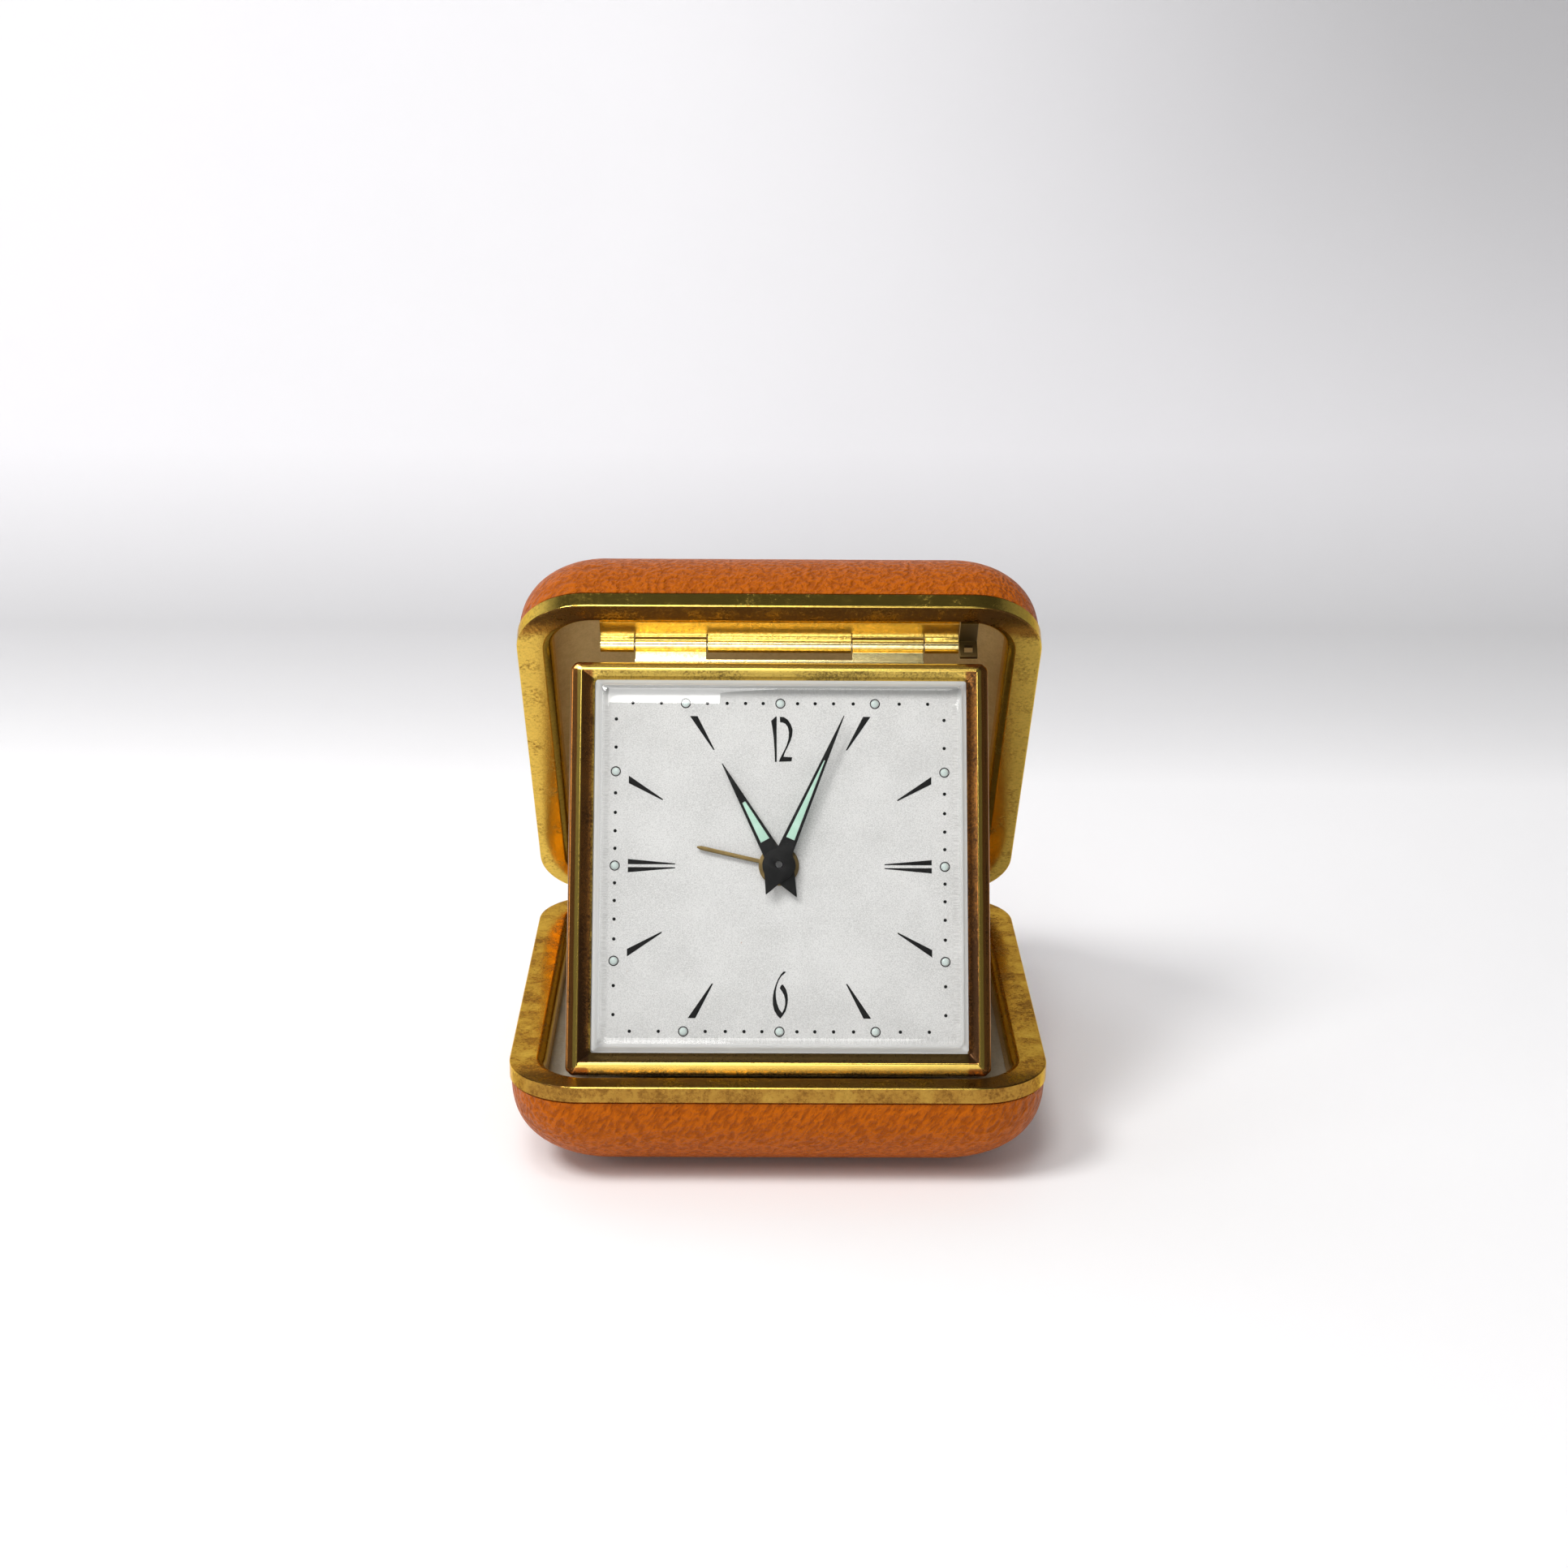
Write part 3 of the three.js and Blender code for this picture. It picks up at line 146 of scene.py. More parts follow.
class Finish(Maker):
    def __init__(self, name):
        self.material = bpy.data.materials.new(name)
        self.material.use_nodes = True
        super().__init__(self.material.node_tree)
        self.tree.nodes.clear()
        self.end = self.tree.nodes.new("ShaderNodeOutputMaterial")
        self.surface = self.tree.nodes.new("ShaderNodeBsdfPrincipled")
        self.tree.links.new(self.surface.outputs[0], self.end.inputs[0])
        self.coords = self.node("ShaderNodeTexCoord", output="Object")

    def set(self, values):
        for key, value in values.items():
            self.feed(self.surface.inputs[key], value)
        return self.material

    def noise(self, size, detail=3, rough=0.5, stretch=(1, 1, 1), distortion=0.0, turn=0.0):
        turned = self.node("ShaderNodeMapping", {"vector_type": "TEXTURE"}, {
            "Vector": self.coords, "Rotation": (0, radians(turn), 0),
            "Scale": tuple(1 / share for share in stretch),
        })
        return self.node("ShaderNodeTexNoise", {"noise_dimensions": "3D"}, {
            "Vector": turned, "Scale": 1 / (size * mm), "Detail": detail,
            "Roughness": rough, "Distortion": distortion,
        })

    def mix(self, factor, first, second):
        return self.node("ShaderNodeMix", {"data_type": "RGBA"}, {0: factor, 6: first, 7: second}, 2)

    def bump(self, height, strength, distance):
        return self.node("ShaderNodeBump", None, {
            "Height": height, "Strength": strength, "Distance": distance * mm,
        })

    def axis(self, name):
        return self.node("ShaderNodeSeparateXYZ", None, {0: self.coords}, name)

    def attribute(self, name):
        return self.node("ShaderNodeAttribute", {"attribute_name": name}, output="Fac")


# Finishes: texture sizes in millimetres
leatherLook = dict(
    light=(0.43, 0.094, 0.0014), dark=(0.295, 0.059, 0.001),
    scuff=(0.46, 0.13, 0.008), glint=(1.0, 0.62, 0.28),
    pebble=0.55, stretch=(1.0, 1.0, 0.42), lean=30.0, crease=0.77, cross=(0.8, 0.9, 1.2),
    cloud=9.0, fine=0.16, scuffs=4.0, rough=0.40, bump=0.24, shine=0.2,
)


def leatherFinish():
    look = leatherLook
    made = Finish("tanLeather")
    pebble = made.noise(look["pebble"], 2, 0.45, look["stretch"], 0.2, look["lean"])
    crease = made.noise(look["crease"], 1, 0.4, look["cross"], 0.1)
    cloud = made.noise(look["cloud"], 4)
    fine = made.noise(look["fine"], 2)
    height = made.step(pebble, 0.28, 0.68) * 0.7 + made.step(crease, 0.3, 0.66) * 0.3
    # tone follows the grain's height: creases darker and tops lighter, partly the grain's own colour and
    # partly painted shade in the creases
    tone = made.step(cloud * 0.12 + height * 0.88, 0.15, 0.85)
    scuffed = made.step(made.noise(look["scuffs"], 5), 0.66, 0.8) * 0.35
    return made.set({
        "Base Color": made.mix(scuffed, made.mix(tone, look["dark"], look["light"]), look["scuff"]),
        "Roughness": look["rough"] + fine * 0.16 - height * 0.1,
        "Normal": made.bump(height + fine * 0.1, 1.0, look["bump"]),
        "Specular IOR Level": look["shine"], "Specular Tint": look["glint"],
    })


giltLook = dict(
    gold=(0.74, 0.52, 0.10), brown=(0.14, 0.056, 0.010), olive=(0.42, 0.30, 0.06),
    # deep is a painted shade colour; bronze is partly tarnish and partly painted shade
    deep=(0.030, 0.014, 0.006), bronze=(0.33, 0.15, 0.026), edge=(0.95, 0.74, 0.45),
    patch=3.2, pit=0.42, speck=0.22,
)


def giltFinish(name, worn, rough, gold=giltLook["gold"]):
    look = giltLook
    made = Finish(name)
    patch = made.noise(look["patch"], 4, 0.6, distortion=0.4)
    pit = made.noise(look["pit"], 3, 0.7)
    speck = made.noise(look["speck"], 2, 0.6)
    # the point values carry painted shade, and painted highlight where negative: they darken the stain,
    # bronze and deep colours
    paintedShadeAndHighlight = made.attribute("paintedShadeAndHighlight")
    stainAndShade = made.step(patch * 0.5 + pit * 0.5 + paintedShadeAndHighlight * 0.16, 0.57 - worn * 0.14, 0.79 - worn * 0.1)
    spots = made.step(speck * 0.6 + pit * 0.4, 0.62, 0.72) * made.step(patch, 0.4, 0.6)
    dull = made.math("MAXIMUM", stainAndShade, spots)
    tone = made.mix(made.step(pit, 0.35, 0.7) * 0.45, gold, look["olive"])
    tone = made.mix(made.step(paintedShadeAndHighlight + patch * 0.6, 0.4, 0.8) * 0.85, tone, look["bronze"])
    stainedAndShaded = made.mix(dull * 0.8, tone, look["brown"])
    return made.set({
        "Base Color": made.mix(made.step(paintedShadeAndHighlight, 0.6, 1.0) * 0.7, stainedAndShaded, look["deep"]),
        "Metallic": 1 - dull * 0.12, "Specular Tint": look["edge"],
        "Roughness": rough + dull * 0.26 + pit * 0.06,
        "Normal": made.bump(pit * 0.6 + speck * 0.4, 0.18, 0.03),
    })


def metalFinish(name, colour, rough, brush=(1, 1, 14), lineSize=0.35, hazeSize=5.0, shadow=0.6):
    made = Finish(name)
    line = made.noise(lineSize, 3, 0.6, brush)
    haze = made.noise(hazeSize, 3)
    return made.set({
        "Base Color": made.mix(haze * 0.35, colour, [part * shadow for part in colour]), "Metallic": 1.0,
        "Roughness": rough + line * 0.12 + haze * 0.06,
        "Normal": made.bump(line, 0.08, 0.02),
    })


bezelLook = dict(
    gold=(0.80, 0.56, 0.12), copper=(0.40, 0.165, 0.040),
    tarnishAndShade=(0.045, 0.020, 0.008), sideFrom=22.6, sideTo=23.5,
    patch=5.0, speck=0.30, rough=0.15,
)


def bezelFinish():
    look = bezelLook
    made = Finish("bezelGilt")
    across = made.math("ABSOLUTE", made.axis("X"))
    side = made.step(across, look["sideFrom"] * mm, look["sideTo"] * mm)
    patch = made.noise(look["patch"], 4, 0.6)
    speck = made.noise(look["speck"], 3, 0.7)
    paintedShadeAndHighlight = made.attribute("paintedShadeAndHighlight")
    # a painted highlight: the rubbed ridge stays clean gold, without copper or dark
    ridge = made.step(paintedShadeAndHighlight, -0.2, -1.2)
    copper = made.step(side * 0.7 + patch * 0.5 - ridge * 0.6, 0.45, 0.9)
    # dark mixes random tarnish with painted shade
    dark = made.step(speck * 0.6 + patch * 0.4 + paintedShadeAndHighlight * 0.22, 0.48, 0.76)
    return made.set({
        "Base Color": made.mix(dark * 0.92, made.mix(copper, look["gold"], look["copper"]), look["tarnishAndShade"]),
        "Metallic": 1 - dark * 0.15,
        "Roughness": look["rough"] + dark * 0.1 + speck * 0.06,
        "Normal": made.bump(speck, 0.14, 0.03),
    })


dialLook = dict(
    paper=(0.80, 0.80, 0.79), dust=(0.59, 0.59, 0.58), rust=(0.46, 0.20, 0.065),
    # rim is a painted shade colour for the dial's left and upper edges
    rim=(0.26, 0.268, 0.26), dialShadeFrom=20.9, dialShadeTo=22.4,
    grain=0.14, cloud=6.0, spot=0.8, field=7.0, rough=0.62,
)


def dialFinish():
    look = dialLook
    made = Finish("dialPaint")
    grain = made.noise(look["grain"], 2, 0.7)
    cloud = made.noise(look["cloud"], 3)
    spots = made.step(made.noise(look["spot"], 2, 0.6), 0.735, 0.78)
    rusty = spots * made.step(made.noise(look["field"], 2), 0.55, 0.7)
    colour = made.mix(made.step(grain * 0.75 + cloud * 0.25, 0.38, 0.66), look["paper"], look["dust"])
    # painted shade: the left and upper edges are darkened in the colour, standing in for the bezel's shade
    rise = made.node("ShaderNodeVectorMath", {"operation": "DOT_PRODUCT"}, {
        0: made.coords, 1: tuple(faceUp),
    }, "Value") - clockPlace.translation.dot(faceUp)
    reach = made.math("MAXIMUM", 0 - made.axis("X"), rise)
    colour = made.mix(made.step(reach, look["dialShadeFrom"] * mm, look["dialShadeTo"] * mm), colour, look["rim"])
    return made.set({
        "Base Color": made.mix(rusty * 0.6, colour, look["rust"]),
        "Roughness": look["rough"] + grain * 0.12,
        "Normal": made.bump(grain, 0.12, 0.02),
    })


def clothFinish(name, light, dark, threadSize=0.3, slubSize=0.75, cloudSize=11.0):
    made = Finish(name)
    weave = made.noise(threadSize, 3, 0.7)
    slub = made.noise(slubSize, 2, 0.6, (1, 0.25, 1))
    cloud = made.noise(cloudSize, 3)
    height = weave * 0.6 + slub * 0.4
    return made.set({
        "Base Color": made.mix(made.step(height * 0.6 + cloud * 0.4, 0.34, 0.66), dark, light),
        "Roughness": 0.85 + weave * 0.1,
        "Normal": made.bump(height, 0.4, 0.06),
    })


def paintFinish(name, colour, worn, rough, shine=0.5, grainSize=0.25, cloudSize=2.5):
    made = Finish(name)
    grain = made.noise(grainSize, 2)
    return made.set({
        "Base Color": made.mix(made.step(made.noise(cloudSize, 3), 0.45, 0.72), colour, worn),
        "Roughness": rough + grain * 0.15, "Specular IOR Level": shine,
        "Normal": made.bump(grain, 0.06, 0.02),
    })


crystalLook = dict(
    index=1.49, tint=(0.985, 0.99, 0.985), passed=(0.9, 0.9, 0.9), dust=0.35,
    paintedGlow=(0.72, 0.73, 0.72), paintedGlowRough=0.35, share=0.55,
)


def crystalFinish():
    look = crystalLook
    made = Finish("clearCrystal")
    dust = made.noise(look["dust"], 2, 0.6)
    made.set({
        "Base Color": look["tint"], "Transmission Weight": 1.0, "IOR": look["index"],
        "Roughness": made.step(dust, 0.66, 0.8) * 0.08,
    })
    # a pale diffuse layer, a painted glow on the rounded edge
    paintedGlow = made.node("ShaderNodeBsdfPrincipled", None, {
        "Base Color": look["paintedGlow"], "Roughness": look["paintedGlowRough"],
    })
    body = Link(made, made.surface.outputs[0])
    body = made.node("ShaderNodeMixShader", None, {
        0: made.attribute("edge") * look["share"], 1: body, 2: paintedGlow,
    })
    # light on its way to the dial goes straight through
    clear = made.node("ShaderNodeBsdfTransparent", None, {0: look["passed"]})
    straight = made.ray("Shadow") + made.ray("Diffuse")
    mixed = made.node("ShaderNodeMixShader", None, {0: straight, 1: body, 2: clear})
    made.feed(made.end.inputs[0], mixed)
    return made.material


finishes = dict(
    leather=leatherFinish(),
    gilt=giltFinish("wornGilt", 0.45, 0.13),
    cleanGilt=giltFinish("cleanGilt", 0.1, 0.2),
    hinge=giltFinish("polishedBrass", 0.05, 0.15, (1.0, 0.85, 0.42)),
    bezel=bezelFinish(),
    brass=metalFinish("plainBrass", (0.72, 0.50, 0.14), 0.26),
    steel=metalFinish("plainSteel", (0.55, 0.56, 0.58), 0.26),
    tinplate=metalFinish("pressedTin", (0.42, 0.43, 0.44), 0.4, (1, 1, 1)),
    spring=metalFinish("bluedSteel", (0.07, 0.09, 0.15), 0.28),
    nickel=metalFinish("nickelPlate", (0.66, 0.65, 0.62), 0.2),
    baseLining=clothFinish("greyLining", (0.38, 0.34, 0.27), (0.27, 0.235, 0.185)),
    lidLining=clothFinish("taupeLining", (0.85, 0.62, 0.28), (0.66, 0.46, 0.20)),
    dial=dialFinish(),
    ink=paintFinish("printInk", (0.004, 0.004, 0.004), (0.007, 0.007, 0.007), 0.6, 0.1),
    hand=paintFinish("handBlack", (0.003, 0.003, 0.003), (0.006, 0.006, 0.005), 0.5, 0.12),
    lume=paintFinish("mintLume", (0.49, 0.77, 0.62), (0.58, 0.84, 0.71), 0.7),
    bead=paintFinish("paleLume", (0.60, 0.70, 0.67), (0.74, 0.83, 0.80), 0.3),
    darkBrass=metalFinish("darkBrass", (0.13, 0.09, 0.035), 0.4),
    darkSteel=metalFinish("darkSteel", (0.05, 0.05, 0.05), 0.45),
    crystal=crystalFinish(),
)
print("finishes made:", len(finishes))


# Mesh making in a local frame
weld = dict(raw=1e-5, flat=1e-4, cut=2e-4)
toolSpare = 1.0   # a cutting tool stands this far past its piece
midZone = 1.0   # points this near to the middle line stay on it


def newObject(name, data):
    made = bpy.data.objects.new(name, data)
    scene.collection.objects.link(made)
    return made


def tightened(mesh, reach, flat=0.0):
    # near points joined, level faces merged where asked, and all faces turned outwards
    shell = bmesh.new()
    shell.from_mesh(mesh)
    bmesh.ops.remove_doubles(shell, verts=shell.verts, dist=reach)
    if flat:
        bmesh.ops.dissolve_limit(shell, angle_limit=radians(flat), verts=shell.verts, edges=shell.edges)
    bmesh.ops.recalc_face_normals(shell, faces=shell.faces)
    shell.to_mesh(mesh)
    shell.free()


def rawPiece(name, points, faces):
    mesh = bpy.data.meshes.new(name)
    mesh.from_pydata([tuple(p) for p in points], [], faces)
    tightened(mesh, weld["raw"])
    return newObject(name, mesh)


def plain(piece, reach=0.0):
    # modifiers worked into a plain mesh, with near points joined where asked
    mesh = bpy.data.meshes.new_from_object(piece.evaluated_get(bpy.context.evaluated_depsgraph_get()))
    if reach:
        tightened(mesh, reach)
    name = piece.name
    bpy.data.objects.remove(piece)
    return newObject(name, mesh)


def bevelled(piece, width, segments=2, angle=30):
    bevel = piece.modifiers.new("edge", "BEVEL")
    bevel.width = width
    bevel.segments = segments
    bevel.limit_method = "ANGLE"
    bevel.angle_limit = radians(angle)
    bevel.use_clamp_overlap = True
    return plain(piece, weld["cut"])


def combined(piece, tool, operation):
    maker = piece.modifiers.new("combine", "BOOLEAN")
    maker.operation = operation
    maker.solver = "EXACT"
    maker.object = tool
    made = plain(piece, weld["cut"])
    bpy.data.objects.remove(tool)
    return made


def joined(name, *pieces):
    shell = bmesh.new()
    for piece in pieces:
        shell.from_mesh(piece.data)
        bpy.data.objects.remove(piece)
    mesh = bpy.data.meshes.new(name)
    shell.to_mesh(mesh)
    shell.free()
    return newObject(name, mesh)


def mark(piece, name, value):
    # a value for each point, read by a finish
    values = [value(vertex.co) for vertex in piece.data.vertices]
    piece.data.attributes.new(name, "FLOAT", "POINT").data.foreach_set("value", values)


def settle(piece, place, finish, body, replaced=(), sharp=38, even=False):
    # into the row frame, shaded, painted and put on its body
    mesh = piece.data
    mesh.transform(place)
    mesh.materials.clear()
    mesh.materials.append(finishes[finish])
    mesh.polygons.foreach_set("material_index", [0] * len(mesh.polygons))
    mesh.polygons.foreach_set("use_smooth", [True] * len(mesh.polygons))
    mesh.set_sharp_from_angle(angle=radians(sharp))
    mesh.update()
    if even:
        # flats between bevelled edges stay flat
        piece.modifiers.new("evenShading", "WEIGHTED_NORMAL").keep_sharp = True
        piece = plain(piece)
    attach(piece, body)
    if replaced:
        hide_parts(*replaced)
    return piece


sideShares = (0.012, 0.5, 0.988)   # points along a side that keep its flat apart from its corners


def ringPoints(half, radius, depth, corner, side=2):
    # a rounded square with equal cuts along its sides, or with the side shares above for two
    points = []
    straight = half - radius
    signs = ((1, 1), (-1, 1), (-1, -1), (1, -1))
    shares = sideShares if side == 2 else [i / side for i in range(1, side)]
    for quarter, (sx, sy) in enumerate(signs):
        for i in range(corner + 1):
            angle = (quarter + i / corner) * pi / 2
            offset = Vector((radius * cos(angle), radius * sin(angle), depth))
            points.append(offset + Vector((sx * straight, sy * straight, 0)))
        nx, ny = signs[(quarter + 1) % 4]
        for share in shares:
            along = Vector((sx + (nx - sx) * share, sy + (ny - sy) * share, 0))
            points.append(offset + along * straight)
    return points


def loft(rings, looped=False):
    count = len(rings[0])
    points = [p for ring in rings for p in ring]
    faces = []
    for i in range(len(rings) if looped else len(rings) - 1):
        lower = i * count
        upper = (i + 1) % len(rings) * count
        for j in range(count):
            follow = (j + 1) % count
            faces.append([lower + j, lower + follow, upper + follow, upper + j])
    if not looped:
        last = (len(rings) - 1) * count
        faces.append(list(range(count - 1, -1, -1)))
        faces.append([last + j for j in range(count)])
    return points, faces


def arc(centreX, centreY, radius, start, end, steps):
    turns = [radians(start + (end - start) * i / steps) for i in range(steps + 1)]
    return [(centreX + radius * cos(turn), centreY + radius * sin(turn)) for turn in turns]


def oblong(x0, x1, y0, y1):
    return [(x0, y0), (x1, y0), (x1, y1), (x0, y1)]


def prism(outline, low, high, axes="XYZ"):
    # an outline in the first two axes, drawn along the third
    order = [axes.index(letter) for letter in "XYZ"]
    rings = [[Vector([(a, b, end)[i] for i in order]) for a, b in outline] for end in (low, high)]
    return loft(rings)


def turned(profile, sides, looped=False):
    # (radius, height) points spun about z
    turns = [2 * pi * j / sides for j in range(sides)]
    return loft([
        [Vector((radius * cos(turn), radius * sin(turn), height)) for turn in turns]
        for radius, height in profile
    ], looped)


def flatPiece(name, outlines, low, high, edge):
    # outlines, holes among them, filled and drawn between two heights
    curve = bpy.data.curves.new(name, "CURVE")
    curve.dimensions = "2D"
    curve.fill_mode = "BOTH"
    curve.extrude = (high - low) / 2 - edge
    curve.bevel_depth = edge
    curve.bevel_resolution = 1
    curve.offset = -edge
    for outline in outlines:
        spline = curve.splines.new("POLY")
        spline.points.add(len(outline) - 1)
        for target, (x, y) in zip(spline.points, outline):
            target.co = (x, y, 0, 1)
        spline.use_cyclic_u = True
    made = plain(newObject(name, curve), weld["flat"])
    made.data.transform(Matrix.Translation((0, 0, (low + high) / 2)))
    return made


# Geometry Nodes: a small maker for trees with named inputs
class Growth(Maker):
    def __init__(self, name, inputs):
        super().__init__(bpy.data.node_groups.new(name, "GeometryNodeTree"))
        face = self.tree.interface
        self.keys = {}
        for key, kind in {"Geometry": "Geometry", **inputs}.items():
            socket = face.new_socket(key, in_out="INPUT", socket_type="NodeSocket" + kind)
            self.keys[key] = socket.identifier
        face.new_socket("Geometry", in_out="OUTPUT", socket_type="NodeSocketGeometry")
        self.start = self.tree.nodes.new("NodeGroupInput")

    def given(self, key):
        return Link(self, self.start.outputs[key])

    def circle(self, turn):
        return [self.math(operation, turn) for operation in ("COSINE", "SINE")]

    def scatter(self, count, x, y, **others):
        # the given geometry on points of the xy plane
        points = self.node("GeometryNodePoints", None, {
            "Count": count, "Position": self.node("ShaderNodeCombineXYZ", None, {"X": x, "Y": y}),
        })
        self.finish(self.node("GeometryNodeInstanceOnPoints", None, {
            "Points": points, "Instance": self.given("Geometry"), **others,
        }))

    def finish(self, geometry):
        whole = self.node("GeometryNodeRealizeInstances", None, {0: geometry})
        painted = self.node("GeometryNodeSetMaterial", None, {
            "Geometry": whole, "Material": self.given("Finish"),
        })
        end = self.tree.nodes.new("NodeGroupOutput")
        self.tree.links.new(painted.socket, end.inputs[0])

    def grow(self, piece, **values):
        modifier = piece.modifiers.new("grown", "NODES")
        modifier.node_group = self.tree
        for key, value in values.items():
            modifier[self.keys[key]] = value
        return plain(piece)


# Leather skins: the case's pillow rule, with a soft ripple
skin = dict(
    half=33.0, corner=9.0, band=2.1, depth=12.1, setback=17.0, power=2.4, taper=0.43,
    leastCorner=0.4, inset=0.15, sheet=0.9, gap=0.1, steps=44, floorSteps=10,
    cuts=(24, 84), rippleSize=1.5, rippleHeight=0.05, sink=1.9,
)


def pillowRing(offset, turn, cuts):
    half, corner, band, depth, inset = pick(skin, "half corner band depth inset")
    bend = 2 / skin["power"]
    back = skin["setback"] * (1 - max(cos(turn), 0.0) ** bend)
    radius = max(corner - inset - offset - skin["taper"] * back, skin["leastCorner"])
    height = band + (depth - offset) * sin(turn) ** bend
    return ringPoints(half - inset - offset - back, radius, height, *cuts)


def pillowWall(offset, top, steps, floorSteps, cuts):
    topShare = max(0.0, (top - skin["band"]) / (skin["depth"] - offset))
    first = asin(topShare ** (skin["power"] / 2))
    rings = [pillowRing(offset, first + (pi / 2 - first) * i / steps, cuts) for i in range(steps + 1)]
    for point in rings[0]:
        point.z = top
    middle = rings[-1]
    for i in range(1, floorSteps):
        share = 1 - i / floorSteps
        rings.append([Vector((p.x * share, p.y * share, p.z)) for p in middle])
    return rings


def pillowShell(outer, inner, top, look):
    measures = pick(look, "steps floorSteps cuts")
    return loft(pillowWall(inner, top, *measures)[::-1] + pillowWall(outer, top, *measures))


ripple = Growth("leatherRipple", {"Size": "Float", "Height": "Float", "Finish": "Material"})
rippleNoise = ripple.node("ShaderNodeTexNoise", {"noise_dimensions": "3D"}, {
    "Scale": 1 / ripple.given("Size"), "Detail": 2.0,
})
rippleOut = ripple.node("ShaderNodeVectorMath", {"operation": "SCALE"}, {
    "Vector": ripple.node("GeometryNodeInputNormal"),
    "Scale": (rippleNoise - skin["sink"]) * ripple.given("Height"),
})
ripple.finish(ripple.node("GeometryNodeSetPosition", None, {
    "Geometry": ripple.given("Geometry"), "Offset": rippleOut,
}))
for half, place in (("base", basePlace), ("lid", lidPlace)):
    smooth = rawPiece(half + "LeatherSkin", *pillowShell(0, skin["sheet"], skin["band"] + skin["gap"], skin))
    hide = ripple.grow(
        smooth, Size=skin["rippleSize"], Height=skin["rippleHeight"], Finish=finishes["leather"],
    )
    settle(hide, place, "leather", half, [half + "_leather"], sharp=60)
print("leather skins made")


# Lid lining: the same rule inside the pan
lining = dict(outer=1.9, inner=2.4, top=3.3, steps=20, floorSteps=4, cuts=(10, 12))
cloth = rawPiece("lidLiningCloth", *pillowShell(*pick(lining, "outer inner top"), lining))
settle(cloth, lidPlace, "lidLining", "lid", ["lid_lining"], sharp=50)


# Rims: a rolled brass frame on each half, notched for the case hinge
rim = dict(
    half=33.0, corner=9.0, band=2.1, face=3.7, sheet=0.7, outerRoll=0.18, innerRoll=1.2,
    bead=0.12, spare=0.04, lidSkirt=3.2, skirtEdge=0.1, cornerCuts=18,
    hingeHalf=20.3, notch=1.4, notchFrom=6, notchTo=351,
    # the front, face and band values on these lines are painted shade on the rims, and the rubbed value is a
    # painted highlight on the outer edge
    wider=0.8, widerFrom=0.5, widerRun=2.0, frontShadeFrom=26.0, frontShadeRun=4.0, faceDeep=0.1,
    faceShade=(0.38, 0.66), bandShade=(0.05, 0.42), rubbedHighlight=-0.4, rubbedHighlightFrom=0.02,
)
baseSkirt = (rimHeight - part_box("base_rim")[0].z) / mm


def rimProfile(skirt):
    outer, inner, sheet, face = pick(rim, "outerRoll innerRoll sheet face")
    band, bead, spare, edge = pick(rim, "band bead spare skirtEdge")
    profile = [(0.0, band - bead), (0.0, outer + spare)]
    profile += arc(outer, outer, outer, 180, 270, 5)
    profile += [(outer + spare, 0.0), (face - inner - spare, 0.0)]
    profile += arc(face - inner, inner, inner, 270, 360, 10)
    profile += [(face, inner + spare), (face, skirt - edge), (face - edge, skirt)]
    profile += [(face - sheet + edge, skirt), (face - sheet, skirt - edge)]
    return profile + [(face - sheet, sheet), (sheet, sheet), (sheet, band), (bead, band)]


def rimPaintedShade(half, point):
    # painted shade: the base's rim is darkened all over and most at its front, on its face more than on its
    # band; the lid's face is darkened at its front; a painted highlight brightens the rubbed outer edge
    front = ramp(-point.y, rim["frontShadeFrom"], rim["frontShadeRun"])
    onFace = point.z < rim["faceDeep"]
    outside = max(abs(point.x), abs(point.y)) > rim["half"] - rim["outerRoll"]
    if outside and rim["rubbedHighlightFrom"] < point.z < rim["outerRoll"]:
        return rim["rubbedHighlight"]
    if half == "lid":
        return front if onFace else 0.0
    least, more = rim["faceShade" if onFace else "bandShade"]
    return least + front * more


def rimRing(inset, depth):
    # the faces are wider at the sides than at the front
    ring = ringPoints(rim["half"] - inset, rim["corner"] - inset, depth, rim["cornerCuts"])
    wider = rim["wider"] * ramp(inset, rim["widerFrom"], rim["widerRun"])
    for point in ring:
        if abs(point.x) > midZone:
            point.x -= copysign(wider, point.x)
    return ring


notchOutline = arc(hingeY, 0, *pick(rim, "notch notchFrom notchTo"), 23)
for half, place, skirt in (("base", basePlace, baseSkirt), ("lid", lidPlace, rim["lidSkirt"])):
    rings = [rimRing(inset, depth) for inset, depth in rimProfile(skirt)]
    rolled = rawPiece(half + "RimFrame", *loft(rings, True))
    notch = rawPiece("notchTool", *prism(notchOutline, -rim["hingeHalf"], rim["hingeHalf"], "YZX"))
    rolled = combined(rolled, notch, "DIFFERENCE")
    # painted shade and highlight for each point of the rim
    mark(rolled, "paintedShadeAndHighlight", lambda point: rimPaintedShade(half, point))
    settle(rolled, place, "gilt", half, [half + "_rim"], sharp=32)
print("rims made")


# Case hinge at the back
caseHinge = dict(
    length=40.0, count=5, gap=0.15, radius=1.1, pin=0.5, inner=33.1, outer=33.55,
    stripTop=1.25, drop=1.9, edge=0.07,
)


def hingeLeaf(name, strip, roll, reach, spans, edge):
    # a strip along the whole leaf with a rolled knuckle on each span
    made = rawPiece(name, *prism(strip, -reach, reach, "YZX"))
    for low, high in spans:
        made = combined(made, rawPiece("knuckle", *prism(roll, low, high, "YZX")), "UNION")
    return bevelled(made, edge, 2, 50)


